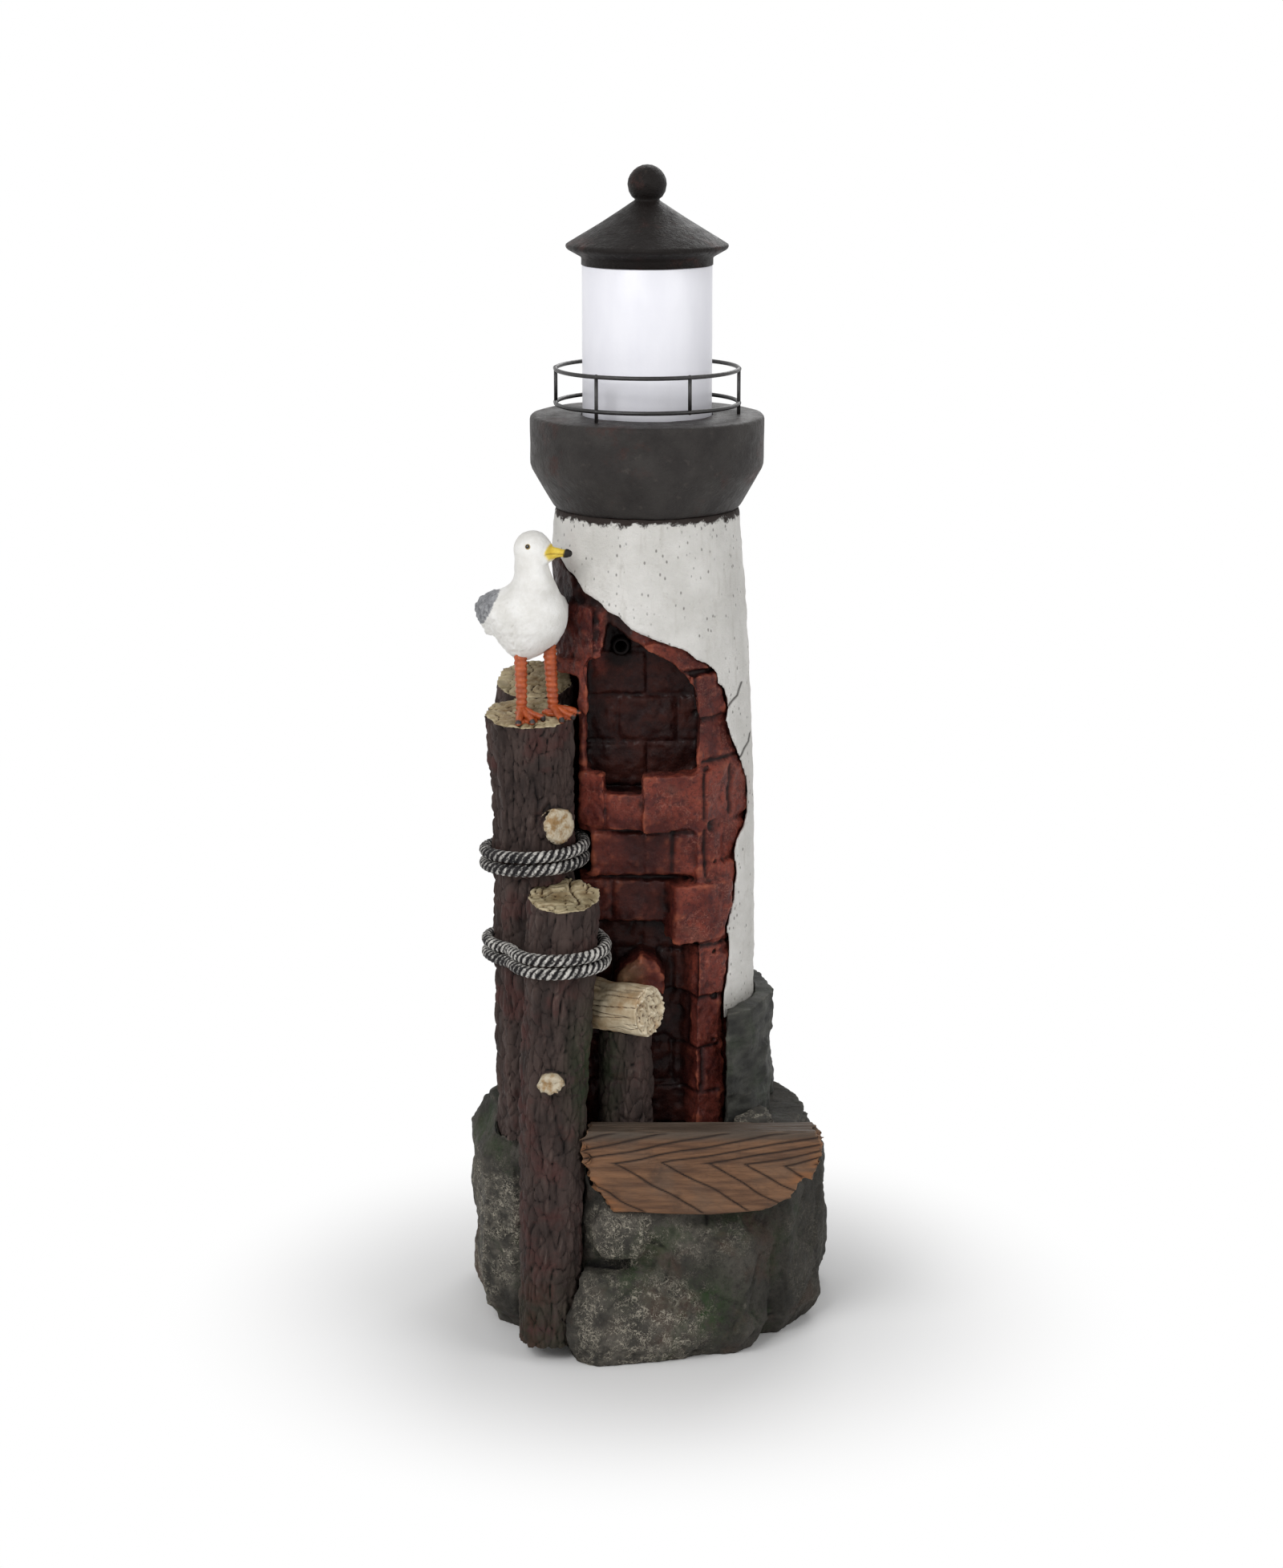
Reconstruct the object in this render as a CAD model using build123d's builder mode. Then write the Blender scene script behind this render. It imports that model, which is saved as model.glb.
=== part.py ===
"""Lighthouse fountain: a broken stucco tower on a rock base, with a brick cascade, bark posts and a gull.

Millimetres. The tower axis is Z, the front faces -Y and the base stands on Z = 0.
Azimuths count in degrees from the front towards +X.
"""

import math
import os

from build123d import *

os.makedirs("parts", exist_ok=True)

# Clearances
casting_gap = 0.4
running_gap = 0.4
slide_gap = 0.5

# Tower wall: plumb from the foot to the taper, then drawn in on one long arc
tower_foot_r = 85.0
tower_top_r = 71.0
tower_wall = 6.0
tower_taper_z = 335.0
tower_top_z = 656.0

# Plinth and base
deck_z = 170.0
plinth_height = 100.0
plinth_r = 102.0
plinth_rebate = 8.0
plinth_right_x = 61.0
plinth_left_y = 26.0
tail_width = 208.0
tail_top_width = 194.0
tail_height = 72.0
tail_y = 106.0
base_half_x = 127.0
base_half_y = 119.0
base_draw_x = 12.0
base_draw_y = 22.0
base_floor = 12.0
cavity_half_x = 104.0
cavity_half_y = 86.0
deck_thick = 16.0
boulder_wear = 0.27

# Gallery, railing and lantern
gallery_r = 90.0
gallery_height = 71.0
gallery_band = 39.0
gallery_edge = 3.0
gallery_spigot = 20.0
seat_depth = 4.0
rail_r = 70.0
rail_wire_r = 1.6
rail_upright_r = 1.4
rail_low = 8.5
rail_rise = 26.0
rail_first_az = -33.0
rail_posts = 6
rail_leg_depth = 7.0
lens_r = 49.5
lens_wall = 2.5
lens_height = 113.0
seal_height = 2.0
roof_eave_r = 62.0
roof_eave_rise = 14.0
roof_neck_r = 9.0
roof_skirt = 5.5
roof_spigot = 12.0
finial_r = 15.0
finial_rise = 46.0

# Brick core
mortar = 3.0
course = 36.0
core_drop = 26.0
core_back_y = 22.0
hollow_left_x = -31.0
hollow_right_x = 48.0
hollow_front_y = -12.0
niche_back_y = -30.0
pool_floor_z = 440.0
lip_z = 460.0
lip_low_z = 417.0
step_high = (378.0, -65.0)
step_middle = (340.0, -59.0)
step_low_y = -47.0
weir_left_x = -32.0
weir_right_x = -4.0
weir_z = 445.0
flank_x = 40.0
flank_az = 28.0
flank_far_az = 70.0
brick_length = 46.0
post_bay_x = -52.5
post_bay_top_z = 533.0

# Posts, rope and board
rope_r = 4.8
rope_gap = 0.7
rope_upper_z = 387.0
rope_lower_z = 316.0
rope_turns = 2
board_left_x = -61.0
board_right_x = 137.0
board_rise = 19.0
board_height = 68.0
board_front_y = -119.0
board_thick = 24.0

# Pump and water way
spout_x = -20.0
spout_z = 553.0
riser_y = 30.0
hose_r = 8.5
hose_bore_r = 6.6
hose_bend_r = 22.0
spout_r = 6.4
spout_bore_r = 4.6
spout_reach = 9.0
pump_foot = 8.0
pump_width = 46.0
pump_height = 44.0
pump_length = 52.0
cover_length = 14.0
cover_wall = 2.5
rotor_r = 9.8
vane_r = 13.5

# Rear door, drain and cord inlet
door_width = 90.0
door_sill = 8.0
door_height = 56.0
door_lap = 5.0
door_plate = 6.0
door_plug = 12.0
door_tunnel = 60.0
drain_z = 26.0
drain_r = 8.0
inlet_x = 68.0
inlet_rise = 20.0
inlet_bore_r = 3.6

cavity_top_z = deck_z - deck_thick
board_top_z = deck_z + board_rise
board_low_z = board_top_z - board_height
door_low_z = deck_z + door_sill
door_high_z = door_low_z + door_height
inlet_z = deck_z + inlet_rise
plinth_top_z = deck_z + plinth_height
tail_top_z = deck_z + tail_height
tower_foot_z = plinth_top_z - plinth_rebate
up = (Align.CENTER, Align.CENTER, Align.MIN)
core_top_z = tower_top_z - core_drop
gallery_z = tower_top_z + gallery_height
gallery_skirt_z = gallery_z - gallery_band
rail_low_z = gallery_z + rail_low
rail_high_z = rail_low_z + rail_rise
lens_top_z = gallery_z + lens_height
roof_eave_z = lens_top_z + roof_eave_rise
finial_z = roof_eave_z + finial_rise
taper_run = tower_top_z - tower_taper_z
taper_fall = tower_foot_r - tower_top_r
taper_bend = (taper_run**2 + taper_fall**2) / (2 * taper_fall)
taper_mid_z = tower_taper_z + taper_run / 2


def around(radius, azimuth):
    """Plan point at an azimuth."""
    turn = math.radians(azimuth)
    return radius * math.sin(turn), -radius * math.cos(turn)


def tower_radius(z):
    """Outer radius of the tower wall at a height."""
    rise = max(0.0, z - tower_taper_z)
    return tower_foot_r - (taper_bend - math.sqrt(taper_bend**2 - rise**2))


def sway(index):
    """Uneven but repeatable value from -1 to 1 for hand-laid work."""
    return 2 * ((index * 0.618034 + 0.37) % 1.0) - 1


def tower_arc(inset, downwards=False):
    """Long arc of the tower wall in the XZ plane, drawn in by an inset."""
    low = (tower_foot_r - inset, tower_taper_z)
    middle = (tower_radius(taper_mid_z) - inset, taper_mid_z)
    high = (tower_top_r - inset, tower_top_z)
    return (high, middle, low) if downwards else (low, middle, high)


# Broken edge of the stucco, seen from the front, from the left silhouette down to the plinth
break_edge = [
    (-90, 626), (-67, 622), (-62, 613), (-55, 609), (-47, 597), (-36, 592), (-30, 585), (-22, 583),
    (-13, 574), (-4, 569), (8, 564), (18, 560), (28, 556), (37, 548), (45, 544), (52, 537), (54, 528),
    (59, 522), (62, 506), (60, 498), (63, 487), (71, 467), (77, 445), (78, 422), (75, 410), (69, 402),
    (67, 393), (69, 376), (66, 352), (61, 334), (64, 318), (62, 297), (60, 284), (60, deck_z - 5),
    (-90, deck_z - 5),
]

with BuildPart() as break_block:
    with BuildSketch(Plane.XZ):
        with BuildLine():
            Polyline(*break_edge, close=True)
        make_face()
    extrude(amount=130)
    extrude(to_extrude=break_block.faces().sort_by(Axis.Y)[-1], amount=core_back_y, dir=(0, 1, 0))

with BuildPart() as tower_shell:
    with BuildSketch(Plane.XZ):
        with BuildLine():
            Line((tower_foot_r - tower_wall, tower_foot_z), (tower_foot_r, tower_foot_z))
            Line((tower_foot_r, tower_foot_z), (tower_foot_r, tower_taper_z))
            ThreePointArc(*tower_arc(0))
            Line((tower_top_r, tower_top_z), (tower_top_r - tower_wall, tower_top_z))
            ThreePointArc(*tower_arc(tower_wall, downwards=True))
            Line((tower_foot_r - tower_wall, tower_taper_z), (tower_foot_r - tower_wall, tower_foot_z))
        make_face()
    revolve(axis=Axis.Z)
    add(break_block.part, mode=Mode.SUBTRACT)
tower_shell.part.label = "tower_shell"
export_step(tower_shell.part, "parts/tower_shell.step")


def sector_block(inner_r, outer_r, az_from, az_to, z_from, z_to):
    """Stone or brick with a flat face, laid on a round wall."""
    corners = [
        around(inner_r, az_from), around(outer_r, az_from), around(outer_r, az_to), around(inner_r, az_to)
    ]
    with BuildPart() as block:
        with BuildSketch(Plane.XY.offset(z_from)):
            with BuildLine():
                Polyline(*corners, close=True)
            make_face()
        extrude(amount=z_to - z_from)
    return block.part


def wall_brick(x_from, x_to, y_face, y_back, z_from, z_to):
    """Brick on a straight wall that faces the front, with its edges worn off."""
    with BuildPart() as brick:
        with Locations(((x_from + x_to) / 2, (y_face + y_back) / 2, (z_from + z_to) / 2)):
            Box(x_to - x_from, y_back - y_face, z_to - z_from)
        chamfer(brick.faces().sort_by(Axis.Y)[0].edges(), 1.2)
    return brick.part


# Bricks that show in the break: flank courses on the right, the lip, the jambs and the niche
ring_bricks = []
courses_low = [deck_z + 4 + course * i for i in range(7)]
for row, z in enumerate(courses_low):
    split_az = flank_az + (20 if row % 2 else 11)
    for col, (az_from, az_to) in enumerate([(flank_az, split_az), (split_az + 2, flank_far_az)]):
        out = tower_radius(z) - 1.5 + 1.5 * sway(3 * row + col)
        top = min(z + course - mortar, lip_low_z - mortar)
        ring_bricks.append(sector_block(48, out, az_from, az_to, z, top))
lip_out = tower_radius(lip_z)
ring_bricks.append(sector_block(66, lip_out - 1.5, -44, -24.5, lip_low_z + 2, lip_z))
ring_bricks.append(sector_block(66, lip_out - 3.5, -22.5, -4.5, lip_low_z, weir_z))
ring_bricks.append(sector_block(62, lip_out + 0.5, -2.5, 35.5, lip_low_z - 2, lip_z + 2))
ring_bricks.append(sector_block(62, lip_out - 1.0, 37.5, 72, lip_low_z + 4, lip_z + 3))
ring_bricks.append(sector_block(50, tower_radius(480) - 2.5, 28, 64, lip_z + 6, 498))
ring_bricks.append(sector_block(50, tower_radius(515) - 1.0, 25, 54, 501, 536))
ring_bricks.append(sector_block(46, tower_radius(548) - 1.2, -2, 38, 539, 562))
ring_bricks.append(sector_block(46, tower_radius(500) - 2.0, -58, -38, lip_z + 5, 500))
ring_bricks.append(sector_block(46, tower_radius(530) - 1.0, -66, -36, 503, 545))
crown_low_z = core_top_z - 82
crown_high_z = core_top_z - 39
crown_low_r = tower_radius(crown_low_z) - 2.0
crown_high_r = tower_radius(crown_high_z) - 1.2
ring_bricks.append(sector_block(46, crown_low_r, -74, -33, crown_low_z, crown_low_z + 40))
ring_bricks.append(sector_block(46, crown_high_r, -84, -50, crown_high_z, crown_high_z + 27))

# Broken brick that stands out of the right flank
with BuildPart() as broken_brick:
    with BuildSketch(Plane.XY.offset(328)):
        with BuildLine():
            Polyline(
                around(58, 12), around(86, 14), around(89, 33), around(87, 50), around(58, 52), close=True
            )
        make_face()
    extrude(amount=46)
    chamfer(broken_brick.edges().filter_by(Axis.Z).sort_by(Axis.Y)[:3], 3)

# Wedge of broken brick that leans on the wall above the log
wedge_front_y = -86.0
with BuildPart() as brick_wedge:
    with BuildSketch(Plane.XZ.offset(-wedge_front_y)):
        with BuildLine():
            Polyline((-27, 288), (13, 288), (14, 301), (7, 315), (-5, 319), (-21, 307), close=True)
        make_face()
    extrude(amount=wedge_front_y - step_low_y - 2)
    chamfer(brick_wedge.faces().sort_by(Axis.Y)[0].edges(), 3)

# Straight courses on the niche back and on the stepped wall below the lip
least_brick = 8.0
niche_left_x = -46.0
niche_right_x = 38.0
wall_bricks = []
for row in range(4):
    z = pool_floor_z + mortar + course * row
    for col in range(-1, 3):
        left = niche_left_x + brick_length * (col + (0.5 if row % 2 else 0))
        x_from = max(left + mortar / 2, niche_left_x)
        x_to = min(left + brick_length - mortar / 2, niche_right_x)
        if x_to - x_from < least_brick:
            continue
        face = niche_back_y - 2.6 + 1.2 * sway(5 * row + col + 11)
        wall_bricks.append(wall_brick(x_from, x_to, face, niche_back_y + 1, z, z + course - mortar))

lower_rows = [(deck_z + mortar + course * i, step_low_y) for i in range(5)]
lower_rows += [(z + mortar / 2, wall_y) for z, wall_y in (step_middle, step_high)]
for row, (z, wall_y) in enumerate(lower_rows):
    for col in range(-1, 3):
        left = post_bay_x + mortar + brick_length * (col + (0.5 if row % 2 else 0))
        x_from = max(left + mortar / 2, post_bay_x)
        x_to = min(left + brick_length - mortar / 2, flank_x)
        if x_to - x_from < least_brick:
            continue
        face = wall_y - 3.2 + 1.6 * sway(7 * row + col + 5)
        top = min(z + course - mortar, lip_low_z)
        wall_bricks.append(wall_brick(x_from, x_to, face, wall_y + 1, z, top))


# Bark posts: ruled lofts through ridged sections, sawn off at a slant
bark_corners = 18
bark_depth = 0.9
bark_wander = 0.8
perch_tilt = 8


def bark_section(centre, radius, turn):
    """Corners of a ridged section, ridge and furrow by turns."""
    corners = []
    for i in range(bark_corners):
        ridge = bark_depth if i % 2 else -bark_depth
        reach = radius + ridge + bark_wander * sway(4 * i + turn)
        angle = math.radians(360 * i / bark_corners + 3 * turn)
        corners.append((centre[0] + reach * math.cos(angle), centre[1] + reach * math.sin(angle)))
    return corners


def bark_post(sections, cut_at, cut_tilt, seed):
    """Post through (x, y, radius, z) sections, cut at a point on a plane that tips towards the front."""
    with BuildPart() as post:
        for x, y, radius, z in sections:
            with BuildSketch(Plane.XY.offset(z)):
                with BuildLine():
                    Polyline(*bark_section((x, y), radius, seed), close=True)
                make_face()
        loft(ruled=True)
        with Locations(Plane(cut_at, x_dir=(1, 0, 0), z_dir=slant_normal(cut_tilt)).location):
            Box(*[6 * sections[0][2]] * 3, align=up, mode=Mode.SUBTRACT)
    return post.part


def slant_normal(tilt):
    """Normal of a cut that tips towards the front by a tilt in degrees."""
    return (0, -math.sin(math.radians(tilt)), math.cos(math.radians(tilt)))


mid_cut = (-62.0, -104.0, 374.0)
gull_cut = (-90.0, -70.0, 508.0)
rear_cut = (-87.0, -8.0, 522.0)
mid_sections = [(-77.5, -103, 23.6, 13), (-72.0, -104, 26.0, 210), (-62.0, -104, 28.2, 392)]
gull_sections = [
    (-86.0, -63, 30.5, deck_z), (-86.5, -64, 31.5, 380), (-86.5, -66, 30.5, 440), (-90.0, -70, 34.8, 520)
]
rear_sections = [(-86.0, -7, 29.5, deck_z), (-87.0, -8, 29.8, 400), (-87.5, -8, 30.0, 560)]
short_sections = [(-17.0, -71.5, 21.5, deck_z), (-17.0, -71.5, 20.5, 290)]
log_tail = (-47.0, -66.0, 277.0)
log_face = (3.0, -104.0, 281.0)
log_r = 19.5

mid_post_solid = bark_post(mid_sections, mid_cut, 13, 1)
with BuildPart() as twig:
    with Locations(Plane((-72.0, -124.0, 226.0), x_dir=(1, 0, 0), z_dir=(-0.12, -0.75, 0.65)).location):
        Cone(9.5, 7.0, 16)
with BuildPart() as post_mid:
    add(mid_post_solid)
    add(twig.part)
post_mid.part.label = "post_mid"
export_step(post_mid.part, "parts/post_mid.step")

with BuildPart() as knot:
    with Locations(Plane((-72.0, -90.0, 425.0), x_dir=(0, 0, 1), z_dir=(0.62, -0.78, 0.1)).location):
        Cone(12.5, 10.5, 10)
with BuildPart() as post_gull:
    add(bark_post(gull_sections, gull_cut, perch_tilt, 2))
    add(knot.part)
    add(post_mid.part, mode=Mode.SUBTRACT)
post_gull.part.label = "post_gull"
export_step(post_gull.part, "parts/post_gull.step")

log_way = Vector(*log_face) - Vector(*log_tail)
with BuildPart() as log_stub:
    with BuildSketch(Plane(log_tail, z_dir=log_way)):
        RegularPolygon(log_r, 14)
    extrude(amount=log_way.length)
    chamfer(log_stub.faces().sort_by(Axis.Y)[0].edges(), 1.5)
    add(post_mid.part, mode=Mode.SUBTRACT)
log_stub.part.label = "log_stub"
export_step(log_stub.part, "parts/log_stub.step")

with BuildPart() as post_short:
    add(bark_post(short_sections, (-17.0, -71.5, 272.0), 0, 4))
    add(log_stub.part, mode=Mode.SUBTRACT)
    add(post_mid.part, mode=Mode.SUBTRACT)
post_short.part.label = "post_short"
export_step(post_short.part, "parts/post_short.step")


# Rope: one tube per binding, wound on the belt line round its posts
rope_pitch = 2 * rope_r + rope_gap
rope_seat = 0.3
bark_reach = bark_depth + bark_wander


def post_at(sections, z):
    """Centre and greatest radius of a post at a height."""
    for (x0, y0, r0, z0), (x1, y1, r1, z1) in zip(sections, sections[1:]):
        if z0 <= z <= z1:
            share = (z - z0) / (z1 - z0)
            break
    return x0 + share * (x1 - x0), y0 + share * (y1 - y0), r0 + share * (r1 - r0) + bark_reach


def belt_line(posts):
    """Plan stations (x, y, way x, way y) of the line that runs counter-clockwise round the posts."""
    reach = rope_r + rope_seat
    rims = [(x, y, r + reach) for x, y, r in posts]
    if len(rims) == 1:
        x, y, r = rims[0]
        return [(x, y + r, -1, 0), (x - r, y, 0, -1), (x, y - r, 1, 0), (x + r, y, 0, 1)]
    lines = []
    for (x0, y0, r0), (x1, y1, r1) in zip(rims, rims[1:] + rims[:1]):
        span = math.hypot(x1 - x0, y1 - y0)
        ux, uy = (x1 - x0) / span, (y1 - y0) / span
        lean = (r0 - r1) / span
        side = math.sqrt(1 - lean**2)
        nx, ny = lean * ux + side * uy, lean * uy - side * ux
        lines.append((math.atan2(ny, nx), (x0 + r0 * nx, y0 + r0 * ny), (x1 + r1 * nx, y1 + r1 * ny)))
    stations = []
    for (x, y, r), arriving, leaving in zip(rims, lines[-1:] + lines[:-1], lines):
        sweep_angle = (leaving[0] - arriving[0]) % (2 * math.pi)
        steps = max(1, math.ceil(sweep_angle / (math.pi / 2)))
        for i in range(steps + 1):
            angle = arriving[0] + sweep_angle * i / steps
            out_x, out_y = math.cos(angle), math.sin(angle)
            stations.append((x + r * out_x, y + r * out_y, -out_y, out_x))
    return stations


def binding_room(posts, low_z):
    """Room that the neighbours leave for a binding and its posts."""
    with BuildPart() as room:
        with BuildSketch(Plane.XY.offset(low_z - rope_r - 1)):
            for x, y, r in posts:
                with Locations((x, y)):
                    Circle(r + 2 * rope_r + 1.2)
            make_hull()
        extrude(amount=rope_turns * rope_pitch + 2 * rope_r + 2)
    return room.part


def climbing(belt, low_z):
    """Stations and ways in space of the whole binding, climbing one pitch per turn."""
    runs = [0.0]
    closed = belt + belt[:1]
    for (x0, y0, *way0), (x1, y1, *way1) in zip(closed, closed[1:]):
        chord = math.hypot(x1 - x0, y1 - y0)
        turn = math.acos(max(-1.0, min(1.0, way0[0] * way1[0] + way0[1] * way1[1])))
        runs.append(runs[-1] + chord * (turn / 2 / math.sin(turn / 2) if turn > 0.001 else 1.0))
    slope = rope_pitch / runs[-1]
    path = []
    for turn in range(rope_turns):
        for run, (x, y, way_x, way_y) in zip(runs, belt):
            way = Vector(way_x, way_y, slope).normalized()
            path.append((Vector(x, y, low_z + slope * run + rope_pitch * turn), way))
    x, y, way_x, way_y = belt[0]
    path.append((Vector(x, y, low_z + rope_pitch * rope_turns), Vector(way_x, way_y, slope).normalized()))
    return path


def wind(path):
    """Draws the binding as lines and pairs of arcs that meet without a kink."""
    for (start, way_in), (end, way_out) in zip(path, path[1:]):
        chord = end - start
        bend = 1 - way_in.dot(way_out)
        if bend < 1e-6:
            Line(start, end)
            continue
        both = way_in + way_out
        along = chord.dot(both)
        reach = (math.sqrt(along**2 + 2 * bend * chord.dot(chord)) - along) / (2 * bend)
        near, far = start + way_in * reach, end - way_out * reach
        middle = (near + far) / 2
        TangentArc(start, middle, tangent=way_in)
        TangentArc(middle, end, tangent=far - near)


def least_gap(edges, turn_length):
    """Least distance between the surfaces of neighbouring turns, on points along the binding."""
    points, run = [], 0.0
    for edge in edges:
        for i in range(8):
            points.append((run + edge.length * i / 8, edge @ (i / 8)))
        run += edge.length
    least = min(
        (p - q).length for a, p in points for b, q in points if b - a > turn_length / 2
    )
    return least - 2 * rope_r


upper_posts = [post_at(gull_sections, rope_upper_z)]
lower_posts = [post_at(gull_sections, rope_lower_z), post_at(mid_sections, rope_lower_z)]
bindings = [("rope_upper", upper_posts, rope_upper_z), ("rope_lower", lower_posts, rope_lower_z)]
for name, posts, low_z in bindings:
    stations = climbing(belt_line(posts), low_z)
    with BuildPart() as rope:
        with BuildLine() as rope_line:
            wind(stations)
        with BuildSketch(Plane(stations[0][0], z_dir=stations[0][1])):
            Circle(rope_r)
        sweep()
    turn_length = sum(edge.length for edge in rope_line.edges()) / rope_turns
    print(name, "least gap between turns", round(least_gap(rope_line.edges(), turn_length), 2))
    rope.part.label = name
    export_step(rope.part, f"parts/{name}.step")

# Rear post, let in round the bindings
with BuildPart() as post_rear:
    add(bark_post(rear_sections, rear_cut, 17, 3))
    add(post_gull.part, mode=Mode.SUBTRACT)
    for name, posts, low_z in bindings:
        add(binding_room(posts, low_z), mode=Mode.SUBTRACT)
post_rear.part.label = "post_rear"
export_step(post_rear.part, "parts/post_rear.step")

# Brick core: a round casting inside the tower wall, hollow at the back for the riser
core_inset = tower_wall + casting_gap
core_mid_z = (tower_taper_z + core_top_z) / 2
with BuildPart() as niche_room:
    with BuildSketch(Plane.XZ.offset(-niche_back_y)):
        with BuildLine():
            Polyline(
                (niche_left_x, lip_z), (niche_right_x, lip_z), (niche_right_x + 1, 500), (35, 529), (19, 546),
                (0, 557), (-14, 566), (-30, 577), (-35, 548), (niche_left_x, 545), close=True
            )
        make_face()
    extrude(amount=100)

with BuildPart() as face_bricks:
    add(ring_bricks)
    add(broken_brick.part)
    add(break_block.part, mode=Mode.INTERSECT)
    add(niche_room.part, mode=Mode.SUBTRACT)
    add(brick_wedge.part)

with BuildPart() as brick_cascade:
    with BuildSketch(Plane.XZ):
        with BuildLine():
            Polyline(
                (tower_foot_r - core_inset, tower_taper_z), (tower_foot_r - core_inset, deck_z),
                (0, deck_z), (0, core_top_z), (tower_radius(core_top_z) - core_inset, core_top_z)
            )
            ThreePointArc(
                (tower_radius(core_top_z) - core_inset, core_top_z),
                (tower_radius(core_mid_z) - core_inset, core_mid_z),
                (tower_foot_r - core_inset, tower_taper_z),
            )
        make_face()
    revolve(axis=Axis.Z)
    with Locations((0, core_back_y, deck_z)):
        Box(400, 200, 800, align=(Align.CENTER, Align.MIN, Align.MIN), mode=Mode.SUBTRACT)
    with Locations((hollow_left_x, hollow_front_y, deck_z)):
        Box(hollow_right_x - hollow_left_x, 200, 800, align=Align.MIN, mode=Mode.SUBTRACT)
    add(niche_room.part, mode=Mode.SUBTRACT)
    with Locations((-44, niche_back_y, pool_floor_z)):
        Box(88, 32, 60, align=(Align.MIN, Align.MAX, Align.MIN), mode=Mode.SUBTRACT)
    with BuildSketch(Plane.YZ.offset(-60)):
        with BuildLine():
            Polyline(
                (-120, lip_low_z), (step_high[1], lip_low_z), (step_high[1], step_high[0]),
                (step_middle[1], step_high[0]), (step_middle[1], step_middle[0]),
                (step_low_y, step_middle[0]), (step_low_y, deck_z - 1), (-120, deck_z - 1), close=True
            )
        make_face()
    extrude(amount=60 + flank_x, mode=Mode.SUBTRACT)
    add(face_bricks.part)
    add(wall_bricks)
    with Locations((weir_left_x, -52, weir_z)):
        Box(weir_right_x - weir_left_x, 60, 60, align=(Align.MIN, Align.MAX, Align.MIN), mode=Mode.SUBTRACT)
    with Locations((post_bay_x, -120, deck_z - 1)):
        Box(100, 200, post_bay_top_z - deck_z, align=(Align.MAX, Align.MIN, Align.MIN), mode=Mode.SUBTRACT)
    for name, posts, low_z in bindings:
        add(binding_room(posts, low_z), mode=Mode.SUBTRACT)
    for piece in (log_stub, post_short):
        add(piece.part, mode=Mode.SUBTRACT)
    with Locations(Plane((spout_x, niche_back_y - spout_reach - 4, spout_z), z_dir=(0, 1, 0)).location):
        Cylinder(spout_r + casting_gap, 80, align=up, mode=Mode.SUBTRACT)
brick_cascade.part.label = "brick_cascade"
export_step(brick_cascade.part, "parts/brick_cascade.step")

# Plinth: a ring of laid stones, open where the brickwork stands, with a flared block at the back
plinth_bore_r = tower_foot_r - tower_wall + casting_gap
plinth_rows = 3
plinth_row = (plinth_top_z - deck_z) / plinth_rows
stone_az = 30.0
stone_joint = 2.0
stones = []
for row in range(plinth_rows):
    for col in range(8):
        az = 25 + stone_az * (col + 0.5 * (row % 2))
        out = plinth_r + 1.5 * sway(5 * row + 3 * col)
        low = deck_z + plinth_row * row
        high = low + plinth_row - (stone_joint if row < plinth_rows - 1 else 0)
        stones.append(sector_block(80, out, az + 1, az + stone_az - 1, low, high))
with BuildPart() as tower_plinth:
    with BuildSketch(Plane.XY.offset(deck_z)):
        Circle(plinth_r - 3)
    extrude(amount=plinth_top_z - deck_z)
    add(stones)
    with BuildSketch(Plane.XY.offset(deck_z)):
        with Locations((0, tail_y / 2 + 10)):
            RectangleRounded(tail_width, tail_y - 20, 12)
    with BuildSketch(Plane.XY.offset(tail_top_z)):
        with Locations((0, tail_y / 2 + 10)):
            RectangleRounded(tail_top_width, tail_y - 20, 12)
    loft()
    with Locations((0, 0, deck_z)):
        Cylinder(plinth_bore_r, 300, align=up, mode=Mode.SUBTRACT)
    with Locations((0, 0, tower_foot_z)):
        Cylinder(tower_foot_r + casting_gap, 300, align=up, mode=Mode.SUBTRACT)
    with BuildSketch(Plane.XY.offset(deck_z - 1)):
        with BuildLine():
            Polyline(
                (plinth_right_x, -140), (plinth_right_x, -20), (0, plinth_left_y), (-140, plinth_left_y),
                (-140, -140), close=True
            )
        make_face()
    extrude(amount=200, mode=Mode.SUBTRACT)
    door_middle_z = (door_low_z + door_high_z) / 2
    with Locations((0, tail_y, door_middle_z)):
        Box(
            door_width, door_tunnel, door_high_z - door_low_z, align=(Align.CENTER, Align.MAX, Align.CENTER),
            mode=Mode.SUBTRACT
        )
    with Locations((0, tail_y - door_tunnel, deck_z - 1)):
        Box(
            door_width, door_tunnel - door_plug - 2, door_sill + 2,
            align=(Align.CENTER, Align.MIN, Align.MIN), mode=Mode.SUBTRACT
        )
    with Locations(Plane((inlet_x, tail_y, inlet_z), z_dir=(0, -1, 0)).location):
        Cylinder(inlet_bore_r + 3 + casting_gap, 80, align=up, mode=Mode.SUBTRACT)
tower_plinth.part.label = "tower_plinth"
export_step(tower_plinth.part, "parts/tower_plinth.step")

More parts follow.
